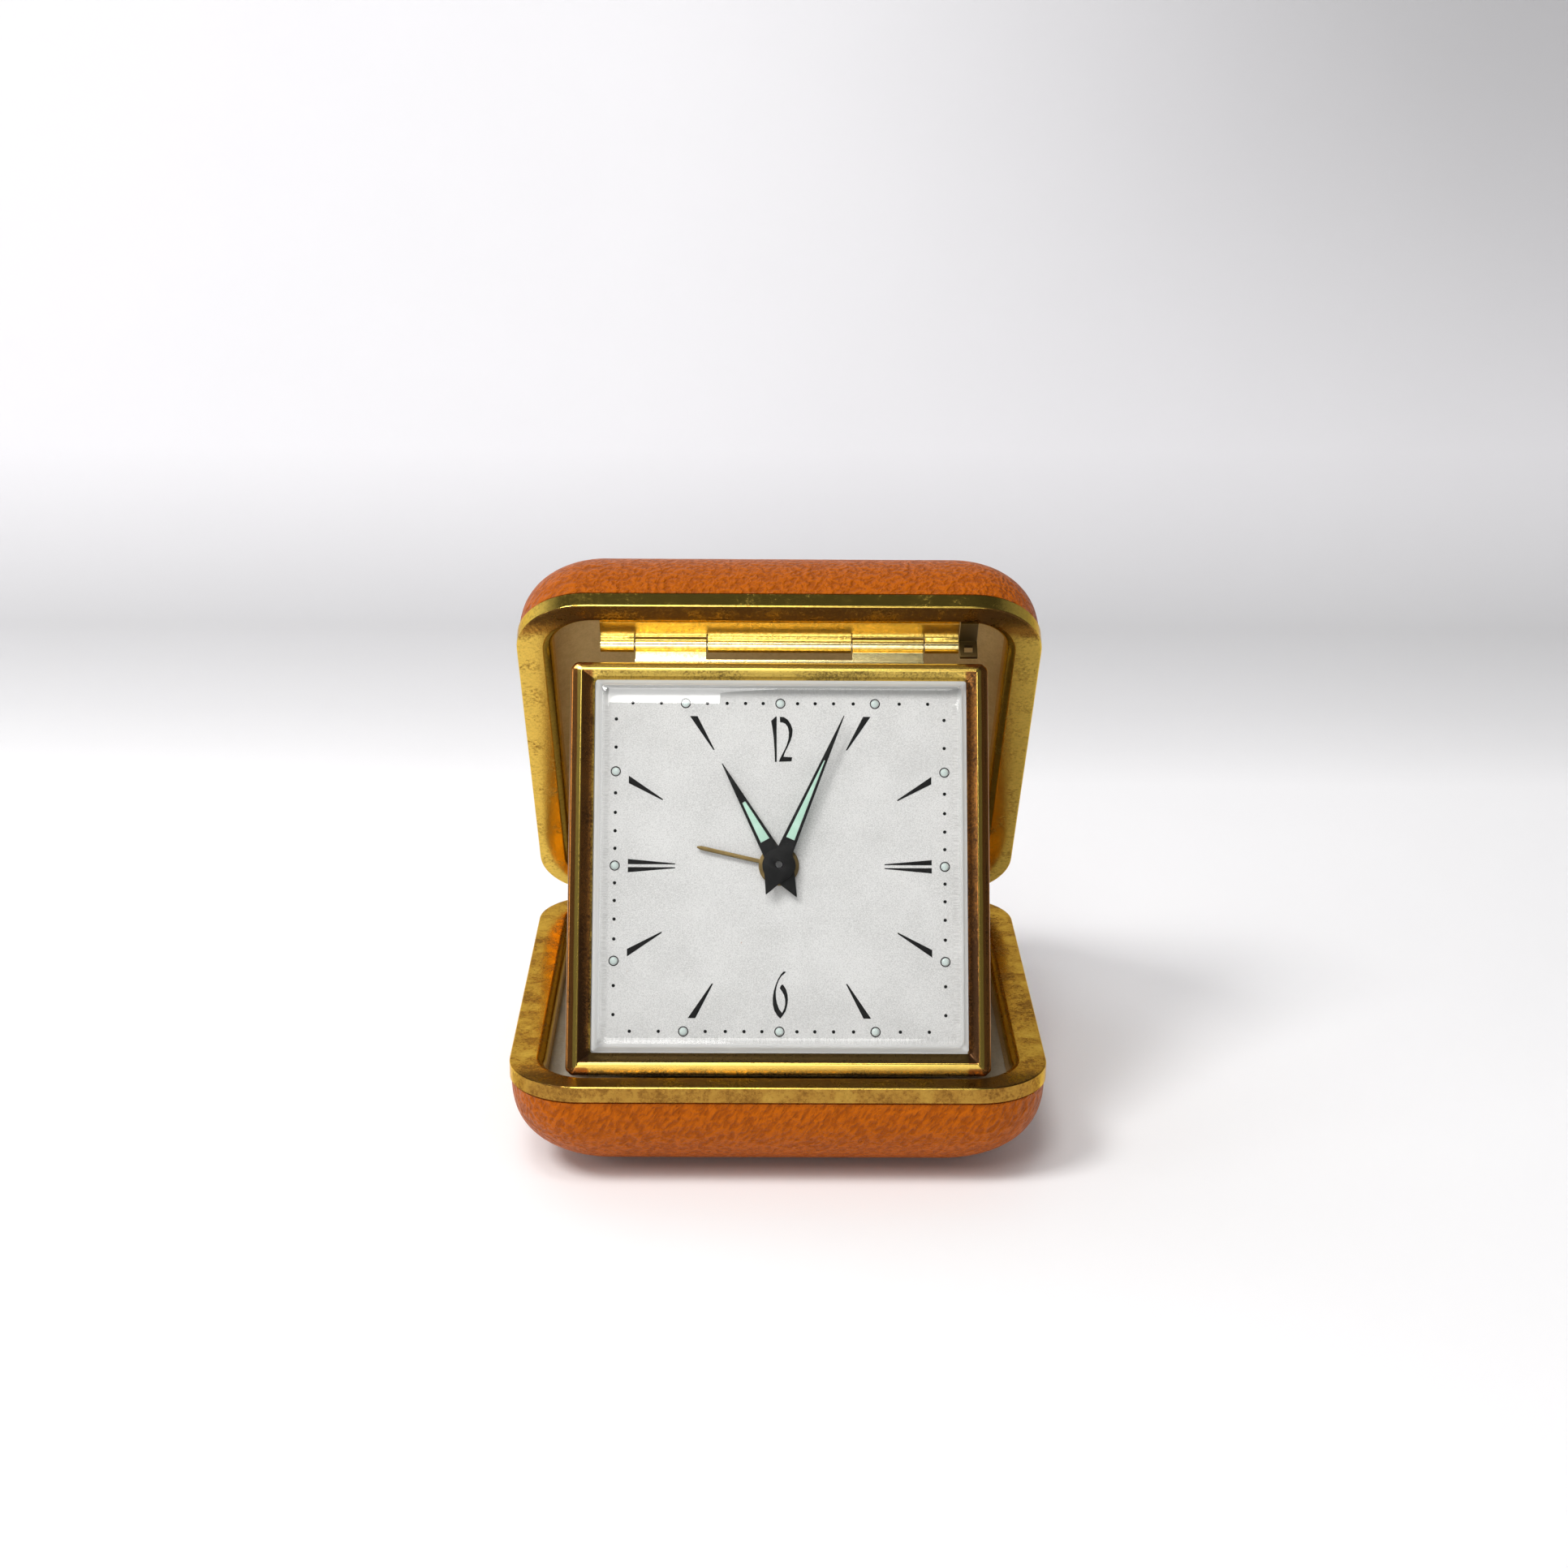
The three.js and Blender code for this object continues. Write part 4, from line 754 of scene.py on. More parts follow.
def caseHingeLeaf(half, first):
    length, count, gap, radius = pick(caseHinge, "length count gap radius")
    inner, outer, top, drop = pick(caseHinge, "inner outer stripTop drop")
    start, end = (degrees(acos((side - hingeY) / radius)) for side in (inner, outer))
    roll = arc(hingeY, 0, radius, start, 360 + end, 28) + [(outer, drop), (inner, drop)]
    reach, pitch = length / 2, length / count
    spans = [(i * pitch - reach + gap, (i + 1) * pitch - reach - gap) for i in range(first, count, 2)]
    strip = oblong(inner, outer, top, drop)
    return hingeLeaf(half + "CaseHingeLeaf", strip, roll, reach - gap, spans, caseHinge["edge"])


for half, place, first in (("base", basePlace, 0), ("lid", lidPlace, 1)):
    leaf = caseHingeLeaf(half, first)
    settle(leaf, place, "hinge", half, ["case_hinge_%s_leaf" % half], sharp=40, even=True)

pinEnd = dict(tip=0.05, shoulder=0.7, dome=0.2, domeShare=0.3, sides=20)


def pinPiece(name, radius, reach, middle):
    tip, shoulder, dome, share = pick(pinEnd, "tip shoulder dome domeShare")
    profile = [(tip, -reach), (radius * shoulder, -reach + dome * share), (radius, -reach + dome)]
    profile += [(r, -h) for r, h in profile[::-1]]
    made = rawPiece(name, *turned(profile, pinEnd["sides"]))
    made.data.transform(Matrix.Translation((0, middle, 0)) @ Matrix.Rotation(pi / 2, 4, "Y"))
    return made


casePin = pinPiece("caseHingePin", caseHinge["pin"], caseHinge["length"] / 2, hingeY)
settle(casePin, basePlace, "steel", "base", ["case_hinge_pin"])


# Clock hinge: rolled knuckles between the lid's front wall and the top of the bezel
clockHinge = dict(
    wall=-29.2, sheet=0.5, pivotY=-25.2, radius=0.95, pin=0.45, tongue=0.4, flange=3.2,
    outer=22.4, inner=18.2, middle=8.96, gap=0.15, edge=0.08,
    pivotUp=28.195, pivotBack=-2.8, foot=25.625, footReach=1.2,
    tabWidth=2.2, tabHeight=2.4, window=1.1,
)
wall, sheet, pivotY, knuckle, tongue = pick(clockHinge, "wall sheet pivotY radius tongue")
spanOuter, spanInner, spanMiddle, hingeGap, hingeEdge = pick(clockHinge, "outer inner middle gap edge")


def clockHingeLidLeaf():
    low = 180 - degrees(asin(tongue / knuckle))
    high = 540 - degrees(asin((tongue + sheet) / knuckle))
    flange = clockHinge["flange"]
    bent = [(wall + sheet, tongue + sheet), (wall + sheet, flange), (wall, flange)]
    roll = arc(pivotY, 0, knuckle, low, high, 28) + bent + [(wall, tongue)]
    end = pivotY - knuckle - hingeGap
    strip = [(wall, tongue), (end, tongue), (end, tongue + sheet)] + bent
    spans = [(-spanOuter, -spanInner), (-spanMiddle, spanMiddle), (spanInner, spanOuter)]
    return hingeLeaf("clockHingeLidLeaf", strip, roll, spanOuter, spans, hingeEdge)


def hingeStopTab():
    width, height, window = pick(clockHinge, "tabWidth tabHeight window")
    low = spanOuter + hingeGap
    top, behind = tongue - height, pivotY - sheet
    section = [(wall, tongue), (behind, tongue), (behind, top), (pivotY, top),
               (pivotY, tongue + sheet), (wall, tongue + sheet)]
    tab = bevelled(rawPiece("hingeStopTab", *prism(section, low, low + width, "YZX")), hingeEdge)
    x, z, reach = low + width / 2, tongue - height / 2, window / 2
    hole = oblong(x - reach, x + reach, z - reach, z + reach)
    tool = rawPiece("paneTool", *prism(hole, pivotY - toolSpare, pivotY + toolSpare, "XZY"))
    return combined(tab, tool, "DIFFERENCE")


def clockHingeClockLeaf():
    up, back, foot, reach = pick(clockHinge, "pivotUp pivotBack foot footReach")
    web = degrees(asin(sheet / 2 / knuckle))
    front, behind, top = back + reach, back - reach, foot + sheet
    base = [(top, front), (foot, front), (foot, behind), (top, behind)]
    roll = arc(up, back, knuckle, 180 + web, 540 - web, 30)
    roll += [(top, back + sheet / 2)] + base + [(top, back - sheet / 2)]
    inner, outer = spanMiddle + hingeGap, spanInner - hingeGap
    spans = [(-outer, -inner), (inner, outer)]
    return hingeLeaf("clockHingeClockLeaf", oblong(foot, top, behind, front), roll, outer, spans, hingeEdge)


settle(clockHingeLidLeaf(), lidPlace, "hinge", "lid", ["clock_hinge_lid_leaf"], sharp=40, even=True)
hingePin = pinPiece("clockHingePin", clockHinge["pin"], spanOuter, pivotY)
settle(hingePin, lidPlace, "steel", "lid", ["clock_hinge_pin"])
settle(hingeStopTab(), lidPlace, "darkBrass", "lid", ["hinge_stop_tab"], sharp=40, even=True)
leaf = clockHingeClockLeaf()
settle(leaf, bezelPlace, "hinge", "clock", ["clock_hinge_clock_leaf"], sharp=40, even=True)
print("hinges made")


# Bezel: a ridge between two slopes
bezel = dict(
    half=25.525, corner=1.0, leastCorner=0.25, cornerCuts=8,
    ridge=0.9, ridgeFrom=0.8, ridgeTo=1.06, ridgeRun=0.12, slopeFrom=1.1, slopeRun=1.1,
    depth=2.5, tentFrom=0.27, tentUp=0.55, tentTo=2.24, tentDown=1.04, rebate=-1.39,
    tentDeep=-0.8, wider=0.4, lower=0.1, rise=0.35, shift=Vector((0.2, 0.28, 0)),
    # the top, foot, side and outer values on this line are painted shade on the bezel's slopes, and the
    # rubbed value is a painted highlight on its ridge
    rubbedHighlight=-1.5, topShade=0.2, footShade=1.8, sideShade=0.6, outerShade=0.8, outerFrom=0.25,
    section=[
        (0.0, 4.9), (0.0, 0.8), (0.02, 0.58), (0.08, 0.42), (0.18, 0.32), (0.27, 0.275), (0.82, 0.04),
        (0.91, 0.005), (1.03, 0.005), (1.12, 0.05), (1.2, 0.11), (2.24, 0.79), (2.36, 0.88), (2.4, 0.96),
        (2.4, 1.4), (0.9, 1.4), (0.9, 5.0), (0.1, 5.0),
    ],
)


def bezelPaintedShade(point):
    # painted shade: the inner slope is darkened most at the foot, less at the sides and least along the top,
    # and the outer slope a little at the sides and foot; a painted highlight brightens the rubbed ridge
    half, ridgeFrom, ridgeTo, slopeFrom = pick(bezel, "half ridgeFrom ridgeTo slopeFrom")
    inset = half - max(abs(point.x), abs(point.y))
    if ridgeFrom < inset < ridgeTo:
        return bezel["rubbedHighlight"]
    inner = ramp(inset, ridgeTo, bezel["ridgeRun"])
    near = half - bezel["depth"]
    top = point.y > near and abs(point.x) < near
    bottom = point.y < -near and abs(point.x) < half - slopeFrom
    side = abs(point.x) > half - slopeFrom and inset > bezel["outerFrom"]
    outer = bezel["outerShade"] if side or bottom and inset < ridgeFrom else 0.0
    return max(inner * bezel["topShade" if top else "footShade" if bottom else "sideShade"], outer)


def bezelMove(point):
    # the outer slope is widest at the sides, and the opening sits a little high and right
    inset = bezel["half"] - max(abs(point.x), abs(point.y))
    outward = 1 - ramp(inset, 0.0, bezel["ridge"])
    inward = ramp(inset, bezel["slopeFrom"], bezel["slopeRun"]) if point.z > bezel["rebate"] else 0.0
    move = bezel["shift"] * inward
    if abs(point.x) > midZone:
        move = move + right * copysign(bezel["wider"] * outward, point.x)
    if point.y < -midZone:
        rise = 0.0
        if -point.y > abs(point.x) and point.z > bezel["tentDeep"]:
            climb = ramp(inset, bezel["tentFrom"], bezel["tentUp"])
            rise = bezel["rise"] * min(climb, ramp(-inset, -bezel["tentTo"], bezel["tentDown"]))
        move = move + Vector((0, rise - bezel["lower"] * outward, 0))
    return move


rings = []
for inset, depth in bezel["section"]:
    corner = max(bezel["corner"] - inset, bezel["leastCorner"])
    rings.append(ringPoints(bezel["half"] - inset, corner, -depth, bezel["cornerCuts"]))
bezelFrame = rawPiece("bezelFrame", *loft(rings, True))
mark(bezelFrame, "paintedShadeAndHighlight", bezelPaintedShade)
for vertex in bezelFrame.data.vertices:
    vertex.co = vertex.co + bezelMove(vertex.co)
settle(bezelFrame, bezelPlace, "bezel", "clock", ["bezel"], sharp=30)


# Crystal: a flat pane whose rounded edge turns down into a flange
crystal = dict(
    half=22.975, front=0.5, roll=1.72, drop=0.9, power=2.0, rollSteps=12,
    inside=22.35, back=-0.8, bend=0.5, bendSteps=8, clearDeep=0.1, clearEdge=0.01,
    flangeHalf=24.325, flangeFront=-1.5, flangeBack=-2.1, spare=0.05,
    corner=0.3, cornerGrowth=0.4, cornerCuts=8, paintedGlowFrom=21.6, paintedGlowRun=1.0,
)


def crystalSection():
    half, front, roll, drop, steps = pick(crystal, "half front roll drop rollSteps")
    inside, back, bend, bendSteps = pick(crystal, "inside back bend bendSteps")
    flange, flangeFront, flangeBack, spare = pick(crystal, "flangeHalf flangeFront flangeBack spare")
    section = [(inside - bend - spare, back)] + arc(inside - bend, back - bend, bend, 90, 0, bendSteps)
    section += [(inside, flangeBack), (flange, flangeBack), (flange, flangeFront), (half, flangeFront)]
    for i in range(steps + 1):
        section.append((half - roll * i / steps, front - drop * (1 - i / steps) ** crystal["power"]))
    return section + [(half - roll - spare, front)]


def paintedGlowShare(point):
    # painted glow: the rounded edge gets a pale diffuse layer standing in for light carried in the crystal's
    # edge; the flat pane and its inner face are clear
    reach = max(abs(point.x), abs(point.y))
    back, deep, inside, edge = pick(crystal, "back clearDeep inside clearEdge")
    if point.z < back + deep and reach < inside - edge:
        return 0.0
    return ramp(reach, crystal["paintedGlowFrom"], crystal["paintedGlowRun"])


rings = []
for half, height in crystalSection():
    corner = crystal["corner"] + max(crystal["half"] - half, 0) * crystal["cornerGrowth"]
    rings.append(ringPoints(half, corner, height, crystal["cornerCuts"]))
pane = rawPiece("crystalPane", *loft(rings))
mark(pane, "edge", paintedGlowShare)
crystalPlace = bezelPlace @ Matrix.Translation(bezel["shift"])
settle(pane, crystalPlace, "crystal", "clock", ["crystal"], sharp=30)
print("bezel and crystal made")


# Hands: tapered blades with luminous windows, arrow tails and black hubs
hands = dict(
    minute=dict(
        angle=23.3, tip=20.3, width=2.0, hub=2.0, tail=4.0, low=-1.55, high=-1.3,
        windowFrom=3.5, windowTo=14.2, pin=0.5,
    ),
    hour=dict(
        angle=330.8, tip=14.5, width=2.2, hub=2.05, tail=4.5, low=-2.05, high=-1.8,
        windowFrom=3.5, windowTo=9.0, pin=0.96,
    ),
    lowBorder=0.36, highBorder=0.27, leastHalf=0.04, root=0.85,
    point=0.05, tailHalf=1.3, tailPoint=0.04, edge=0.05,
    lumeGap=0.02, lumeSink=0.04, lumeEdge=0.01,
)


def bladeHalf(look, along):
    return look["width"] / 2 * (look["tip"] - along) / (look["tip"] - look["hub"])


def handOutline(look):
    hub, tail, tip = pick(look, "hub tail tip")
    tailHalf, tailPoint, point = pick(hands, "tailHalf tailPoint point")
    start = degrees(acos(bladeHalf(look, hub * hands["root"]) / hub))
    side = degrees(acos(tailHalf / hub))
    return (
        [(point, tip), (-point, tip)] + arc(0, 0, hub, 180 - start, 180 + side, 12)
        + [(-tailPoint, -tail), (tailPoint, -tail)] + arc(0, 0, hub, 360 - side, 360 + start, 12)
    )


def windowOutline(look, spare):
    low, high = look["windowFrom"] + spare, look["windowTo"] - spare * 4
    first = bladeHalf(look, low) - hands["lowBorder"] - spare
    last = max(bladeHalf(look, high) - hands["highBorder"] - spare, hands["leastHalf"])
    return [(-first, low), (first, low), (last, high), (-last, high)]


def holeOutline(radius):
    return arc(0, 0, radius, 0, 345, 23)


for name in ("minute", "hour"):
    look = hands[name]
    body, place, low, high = name + "_hand", handPlace(look["angle"]), look["low"], look["high"]
    outlines = [handOutline(look), windowOutline(look, 0), holeOutline(look["pin"])]
    blade = flatPiece(name + "HandBlade", outlines, low, high, hands["edge"])
    settle(blade, place, "hand", body, [body], sharp=30)
    gap, sink, edge = pick(hands, "lumeGap lumeSink lumeEdge")
    fill = flatPiece(name + "HandLume", [windowOutline(look, gap)], low + gap, high - sink, edge)
    settle(fill, place, "lume", body, [body + "_lume"], sharp=30)

alarmLook = dict(
    angle=282.7, tip=10.4, point=0.08, taper=0.5, half=0.25, hub=2.5, hole=1.85,
    low=-2.55, high=-2.3, edge=0.04,
)
half, tip, point, taper, hub = pick(alarmLook, "half tip point taper hub")
hubTurn = degrees(acos(half / hub))
alarmOutline = [(point, tip), (-point, tip), (-half, tip - taper)]
alarmOutline += arc(0, 0, hub, 180 - hubTurn, 360 + hubTurn, 40) + [(half, tip - taper)]
outlines = [alarmOutline, holeOutline(alarmLook["hole"])]
alarmBlade = flatPiece("alarmHandBlade", outlines, *pick(alarmLook, "low high edge"))
alarmPlace = handPlace(alarmLook["angle"])
settle(alarmBlade, alarmPlace, "darkBrass", "alarm_hand", ["alarm_hand"], sharp=30)
print("hands made")


# Dial print: hour wedges, two numerals, and a square track of dots, rings and beads
dialPrint = dict(low=-3.0, high=-2.97, shift=0.13, edge=0.006)
printPlace = clockPlace @ Matrix.Translation((dialPrint["shift"], 0, 0))
low, high, edge = pick(dialPrint, "low high edge")
slantedWedge = [(10.32, 18.8), (11.26, 18.8), (8.34, 14.55), (8.16, 14.55)]
levelWedge = [(18.8, 0.18), (18.8, 0.83), (12.95, 0.3), (12.95, 0.18)]


def mirrored(outline):
    return [[(sx * x, sy * y) for x, y in outline] for sx in (1, -1) for sy in (1, -1)]


wedges = mirrored(slantedWedge) + mirrored([(y, x) for x, y in slantedWedge]) + mirrored(levelWedge)
settle(flatPiece("dialWedges", wedges, low, high, edge), printPlace, "ink", "clock")

# outlines in hundredths of a millimetre
numerals = dict(
    one=[
        (-114, 1824), (-55, 1881), (-45, 1876), (-46, 1711), (-43, 1306), (-65, 1306), (-71, 1454),
        (-82, 1608), (-97, 1721),
    ],
    two=[
        (-6, 1874), (41, 1874), (92, 1840), (133, 1779), (154, 1712), (148, 1640), (128, 1573), (96, 1501),
        (58, 1424), (42, 1373), (68, 1370), (149, 1366), (141, 1314), (-17, 1309), (2, 1357), (38, 1429),
        (78, 1512), (103, 1599), (108, 1681), (93, 1748), (62, 1789), (26, 1804), (-4, 1806),
    ],
    six=[
        (80, -1308), (50, -1302), (15, -1340), (-20, -1400), (-49, -1470), (-72, -1550), (-84, -1630),
        (-82, -1710), (-63, -1785), (-28, -1844), (9, -1882), (42, -1844), (76, -1789), (96, -1719),
        (104, -1649), (98, -1585), (82, -1530), (60, -1490), (40, -1463), (18, -1474), (3, -1510),
        (28, -1545), (54, -1590), (68, -1640), (70, -1699), (59, -1759), (33, -1812), (-4, -1769),
        (-29, -1700), (-44, -1630), (-46, -1555), (-34, -1480), (-10, -1415), (25, -1360), (65, -1325),
    ],
)
outlines = [[(x / 100, y / 100) for x, y in outline] for outline in numerals.values()]
figures = flatPiece("dialNumerals", outlines, low, high, edge)
settle(figures, printPlace, "ink", "clock")

track = Growth("squareTrack", {
    "Count": "Int", "Reach": "Float", "Every": "Int", "OnHour": "Float", "Finish": "Material",
})
index = track.node("GeometryNodeInputIndex")
north, east = track.circle(index * (2 * pi) / track.given("Count"))
longest = track.math("MAXIMUM", *(track.math("ABSOLUTE", side) for side in (east, north)))
trackReach = track.given("Reach") / longest
onHour = track.math("COMPARE", track.math("MODULO", index, track.given("Every")), 0.0, 0.5)
chosen = track.math("COMPARE", onHour, track.given("OnHour"), 0.1)
track.scatter(track.given("Count"), east * trackReach, north * trackReach, Selection=chosen)

trackLook = dict(
    reach=20.43, count=60, every=5, dot=0.21, ringOuter=0.63, ringInner=0.51,
    bead=0.47, beadHigh=0.16, beadSteps=6,
)
dot, outer, inner, bead, beadHigh, steps = pick(trackLook, "dot ringOuter ringInner bead beadHigh beadSteps")
ringProfile = [(outer, low), (outer, high), (inner, high), (inner, low)]
beadTurns = [pi / 2 * i / steps for i in range(steps)]
beadProfile = [(bead * cos(turn), low + beadHigh * sin(turn)) for turn in beadTurns]
for name, shell, hourShare, finish, slot in (
    ("minuteDots", turned([(dot, low), (dot, high)], 16), 0.0, "ink", "hand"),
    ("hourRings", turned(ringProfile, 32, True), 1.0, "ink", "hand"),
    ("hourBeads", turned(beadProfile, 24), 1.0, "bead", "lume"),
):
    grown = track.grow(
        rawPiece(name, *shell), Count=trackLook["count"], Reach=trackLook["reach"], Every=trackLook["every"],
        OnHour=hourShare, Finish=finishes[finish],
    )
    settle(grown, printPlace, finish, "clock", sharp=30)
print("dial print made")


# Back of the clock: can, keys, knobs, screws and levers
backLook = dict(can=0.18, lever=0.08, plane=-12.95, level=0.5)
plane = backLook["plane"]


def refinedCopy(node, name, width):
    mesh = nodes[node].data.copy()
    mesh.name = name
    mesh.transform(Matrix.Scale(1 / mm, 4))
    tightened(mesh, weld["cut"], backLook["level"])
    if "custom_normal" in mesh.attributes:
        mesh.attributes.remove(mesh.attributes["custom_normal"])
    return bevelled(newObject(name, mesh), width, 2, 40)


for node, name, width, finish, body, slot in (
    ("back_case", "backCan", backLook["can"], "cleanGilt", "clock", "gilt"),
    ("regulator_lever", "regulatorLever", backLook["lever"], "nickel", "regulator", "nickel"),
    ("alarm_stop", "alarmStopSlide", backLook["lever"], "nickel", "alarm_stop", "nickel"),
):
    refined = refinedCopy(node, name, width)
    settle(refined, Matrix.Scale(mm, 4), finish, body, [node], sharp=40, even=True)

keyLook = dict(
    half=4.2, sheet=1.0, hub=1.5, foot=0.5, height=1.5, hubShort=0.06, edge=0.14,
    footCut=(0.3, 0.25), endCut=(0.4, 0.35),
)
half, sheetHalf, hub = keyLook["half"], keyLook["sheet"] / 2, keyLook["hub"]
keyTop, keyEnd = plane - keyLook["foot"], plane - keyLook["height"]
(footIn, footDown), (endIn, endUp) = pick(keyLook, "footCut endCut")
wing = [(half - footIn, keyTop), (half, keyTop - footDown), (half, keyEnd + endUp), (half - endIn, keyEnd)]
wing += [(-x, z) for x, z in wing[::-1]]
for kind in ("time", "alarm"):
    body = kind + "_winding"
    wings = rawPiece("keyWings", *prism(wing, -sheetHalf, sheetHalf, "XZY"))
    barrel = rawPiece("keyHub", *turned([(hub, keyEnd + keyLook["hubShort"]), (hub, plane)], 32))
    key = bevelled(joined(kind + "WingKey", wings, barrel), keyLook["edge"], 3, 40)
    settle(key, jointPlace(body), "cleanGilt", body, [kind + "_key"], sharp=40, even=True)

knobLook = dict(
    core=2.06, ribs=24, rib=0.24, height=1.3, edge=0.2, dish=1.0, dishFloor=0.9,
    dishDeep=0.12, ribTip=0.1, ribShort=0.05,
)
ribbed = Growth("knobRibs", {"Count": "Int", "Radius": "Float", "Finish": "Material"})
ribTurn = ribbed.node("GeometryNodeInputIndex") * (2 * pi) / ribbed.given("Count")
ribbed.scatter(ribbed.given("Count"), *(side * ribbed.given("Radius") for side in ribbed.circle(ribTurn)))
core, rib, edge, dish = pick(knobLook, "core rib edge dish")
end = plane - knobLook["height"]
discProfile = [
    (knobLook["dishFloor"], end + knobLook["dishDeep"]), (dish, end), (core - edge, end),
    (core - edge * 0.4, end + edge * 0.35), (core, end + edge), (core, plane),
]
ribProfile = [(knobLook["ribTip"], end + knobLook["ribShort"]), (rib, end + edge), (rib, plane)]
for kind in ("hand", "alarm"):
    body = kind + "_setting"
    disc = rawPiece("knobDisc", *turned(discProfile, 48))
    ribs = ribbed.grow(
        rawPiece("knobRib", *turned(ribProfile, 10)),
        Count=knobLook["ribs"], Radius=core, Finish=finishes["cleanGilt"],
    )
    knob = joined(kind + "SettingKnob", disc, ribs)
    settle(knob, jointPlace(body), "cleanGilt", body, [body + "_knob"], sharp=40)

screwLook = dict(
    place=18.4, head=1.3, height=0.5, headCut=(0.25, 0.2), seat=0.02, shank=0.6, end=-9.8,
    slot=0.3, slotDeep=0.25, firstTurn=0.3, nextTurn=0.8,
)
head, shank, slotHalf = screwLook["head"], screwLook["shank"], screwLook["slot"] / 2
headLow, seat, (cutIn, cutUp) = plane - screwLook["height"], plane + screwLook["seat"], screwLook["headCut"]
screw = rawPiece("caseScrews", *turned([
    (head - cutIn, headLow), (head, headLow + cutUp), (head, seat), (shank, seat), (shank, screwLook["end"]),
], 32))
slotOutline = oblong(-head - toolSpare, head + toolSpare, -slotHalf, slotHalf)
slotTool = rawPiece("slotTool", *prism(slotOutline, headLow - toolSpare, headLow + screwLook["slotDeep"]))
screw = combined(screw, slotTool, "DIFFERENCE")
corners = Growth("fourCorners", {"Reach": "Float", "Finish": "Material"})
cornerIndex = corners.node("GeometryNodeInputIndex")
cornerReach = corners.given("Reach") * sqrt(2)
cornerSides = corners.circle(cornerIndex * (pi / 2) + pi / 4)
corners.scatter(4, *(side * cornerReach for side in cornerSides), Rotation=corners.node(
    "ShaderNodeCombineXYZ", None, {"Z": cornerIndex * screwLook["nextTurn"] + screwLook["firstTurn"]},
))
screws = corners.grow(screw, Reach=screwLook["place"], Finish=finishes["steel"])
screwNodes = ["case_screw_%d" % (i + 1) for i in range(4)]
settle(screws, clockPlace, "steel", "clock", screwNodes, sharp=40)
print("back pieces made")


# CAD pieces that keep their shape
carried = dict(
    tinplate="base_pan lid_pan",
    baseLining="base_lining",
    dial="dial",
    brass="front_plate back_plate hour_wheel minute_wheel alarm_wheel time_main_wheel third_wheel "
          "fourth_wheel escape_wheel balance_wheel alarm_main_wheel alarm_escape_wheel",
    darkSteel="cannon_pinion centre_wheel",
    steel="hand_setting_arbor alarm_setting_arbor time_winding_arbor alarm_winding_arbor time_click "
          "alarm_click pallet_lever alarm_hammer",
    spring="hairspring time_mainspring alarm_mainspring",
)
for finish, names in carried.items():
    for node in pick(nodes, names):
        node.data.materials.clear()
        node.data.materials.append(finishes[finish])
print("carried pieces painted:", sum(len(names.split()) for names in carried.values()))


# Camera at the photo's angle
cameraLook = dict(
    place=(-2.898, -332.166, 150.247), yaw=0.625, pitch=18.086, roll=0.440, focal=3356.58,
    frame=1932, sensor=36.0, near=0.01, far=20,
)
yaw, pitch, roll = (radians(angle) for angle in pick(cameraLook, "yaw pitch roll"))
cameraData = bpy.data.cameras.new("photoCamera")
cameraData.sensor_width = cameraLook["sensor"]
cameraData.lens = cameraLook["focal"] / cameraLook["frame"] * cameraLook["sensor"]
cameraData.clip_start = cameraLook["near"]
cameraData.clip_end = cameraLook["far"]
camera = newObject("photoCamera", cameraData)
camera.matrix_world = (
    Matrix.Translation(Vector(cameraLook["place"]) * mm) @ Matrix.Rotation(-yaw, 4, "Z")
    @ Matrix.Rotation(pi / 2 - pitch, 4, "X") @ Matrix.Rotation(roll, 4, "Z")
)
scene.camera = camera


# Studio: a pale sweep with painted shade at its bend and towards its right, soft lights and a bright room
studio = dict(
    front=-1.6, near=-0.5, bend=0.15, radius=0.22, wall=1.6, half=1.8, steps=16, gradeRun=0.8,
    floor=(0.94, 0.94, 0.95), band=(0.60, 0.60, 0.612), wallLow=(0.82, 0.815, 0.84),
    wallHigh=(0.84, 0.84, 0.86), rightShadeAndFibre=(0.17, 0.17, 0.174), rightShadeFrom=-0.04, rightShadeTo=0.2,
    fibre=40.0, world=0.265, sky=0.92, mirrorLow=0.16, mirrorHigh=0.05,
    mirrorFrom=0.1, mirrorTo=0.95,
)
bend, radius = studio["bend"], studio["radius"]
profile = [(studio["front"], 0.0), (studio["near"], 0.0), (0.0, 0.0)]
profile += arc(bend, radius, radius, 270, 360, studio["steps"]) + [(bend + radius, studio["wall"])]
runs = [0.0]
for (y0, z0), (y1, z1) in zip(profile, profile[1:]):
    runs.append(runs[-1] + hypot(y1 - y0, z1 - z0))
sweepPoints = [(x, y, z) for y, z in profile for x in (-studio["half"], studio["half"])]
sweepFaces = [[2 * i, 2 * i + 1, 2 * i + 3, 2 * i + 2] for i in range(len(profile) - 1)]
sweepMesh = bpy.data.meshes.new("studioSweep")
sweepMesh.from_pydata(sweepPoints, [], sweepFaces)
run = sweepMesh.attributes.new("run", "FLOAT", "POINT")
run.data.foreach_set("value", [value for value in runs for side in range(2)])
sweepMesh.polygons.foreach_set("use_smooth", [True] * len(sweepFaces))
sweep = newObject("studioSweep", sweepMesh)
paper = Finish("studioPaper")
paperShare = (paper.attribute("run") + studio["front"]) / studio["gradeRun"]
grade = paper.node("ShaderNodeValToRGB", None, {0: paperShare})
stops = grade.socket.node.color_ramp.elements
stops[0].color = (*studio["floor"], 1.0)
stops[1].color = (*studio["wallHigh"], 1.0)
# the band colour is painted shade where the floor bends up into the wall
for position, colour in ((0.16, "floor"), (0.26, "band"), (0.34, "wallLow")):
    stops.new(position).color = (*studio[colour], 1.0)
upright = paper.step(paperShare, 0.25, 0.55)
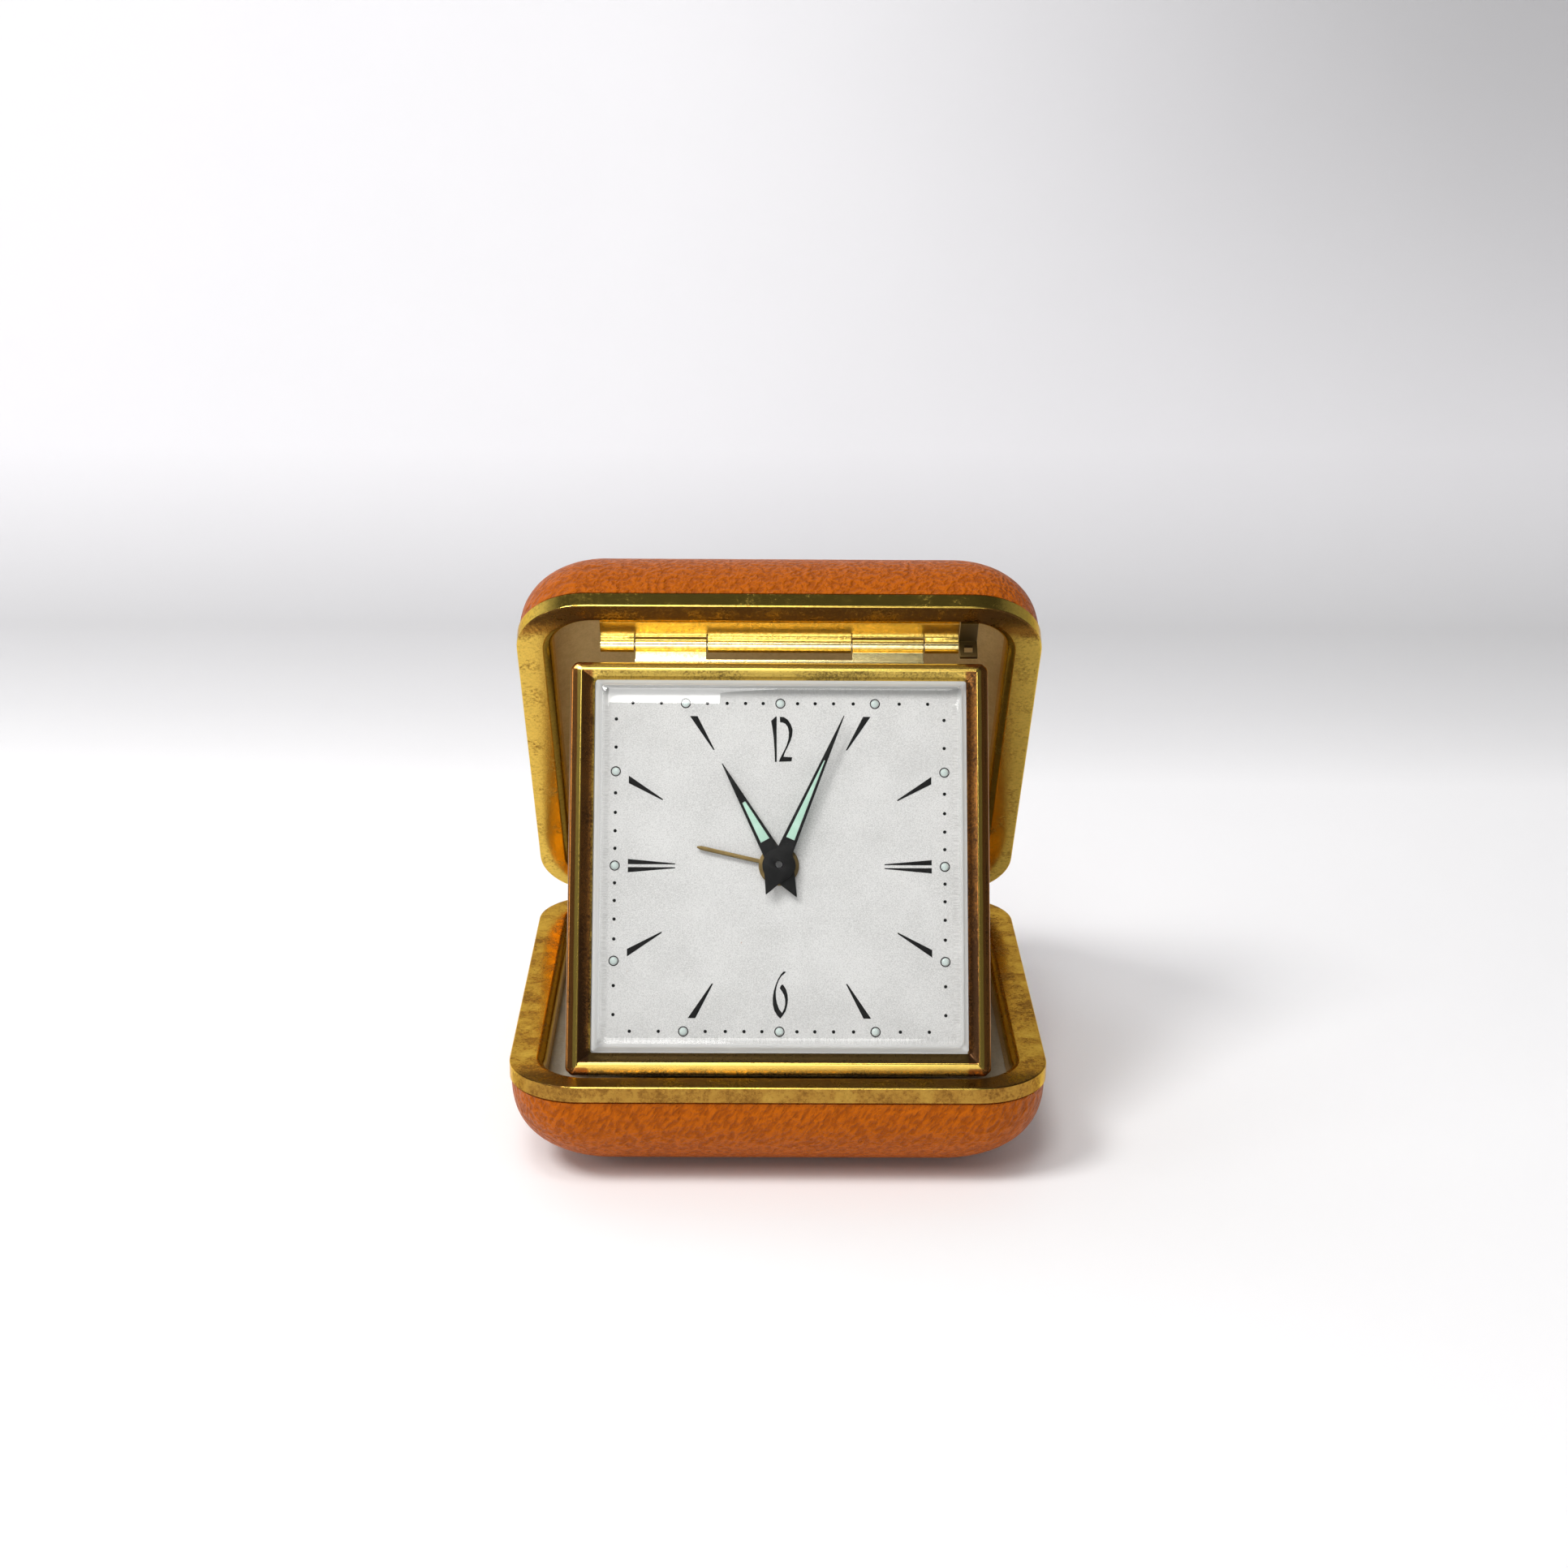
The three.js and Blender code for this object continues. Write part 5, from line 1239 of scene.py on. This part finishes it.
# painted shade: the sweep darkens towards the right, most on the wall; a little fibre tone is added to the
# same mask
rightShadeAndFibre = paper.step(paper.axis("X"), studio["rightShadeFrom"], studio["rightShadeTo"]) * (upright * 0.5 + 0.06)
rightShadeAndFibre = rightShadeAndFibre + paper.noise(studio["fibre"], 3) * 0.03
sweepMesh.materials.append(paper.set({
    "Base Color": paper.mix(rightShadeAndFibre, grade, studio["rightShadeAndFibre"]), "Roughness": 0.8, "Specular IOR Level": 0.1,
}))

# place, width, height, power and turn of each
lights = dict(
    main=((-0.5, -0.42, 0.85), 0.3, 0.3, 5.5, 0),
    key=((-0.13, -0.62, 0.93), 0.25, 0.7, 3.7, 7),
    top=((-0.1, -0.30, 1.05), 0.5, 0.16, 1.0, 0),
    side=((-0.8, -0.3, 0.35), 0.3, 0.3, 0.7, 0),
    low=((-0.1, -1.0, 0.2), 0.36, 0.36, 1.6, 0),
)
aim = Vector((0, 0, 0.03))
for name, (place, width, height, power, turn) in lights.items():
    lamp = bpy.data.lights.new(name + "Light", "AREA")
    lamp.shape = "RECTANGLE"
    lamp.size = width
    lamp.size_y = height
    lamp.energy = power
    lamp.color = (1.0, 0.99, 0.98)
    holder = newObject(name + "Light", lamp)
    holder.location = place
    facing = (aim - holder.location).to_track_quat("-Z", "Y")
    holder.rotation_euler = (facing @ Quaternion((0, 0, 1), radians(turn))).to_euler()

world = bpy.data.worlds.new("studioRoom")
world.use_nodes = True
room = Maker(world.node_tree)
background = world.node_tree.nodes["Background"]
around = room.node("ShaderNodeTexCoord", output="Generated")
height = room.node("ShaderNodeSeparateXYZ", None, {0: around}, "Z")
mirror = room.step(height, *pick(studio, "mirrorFrom mirrorTo mirrorLow mirrorHigh"))
glossy, seen = room.ray("Glossy"), room.ray("Camera")
room.feed(background.inputs["Color"], (1.0, 1.0, 1.0))
strength = mirror * glossy + studio["world"] * (1 - glossy)
room.feed(background.inputs["Strength"], strength * (1 - seen) + studio["sky"] * seen)
scene.world = world
scene.view_settings.view_transform = "Standard"
print("studio made")
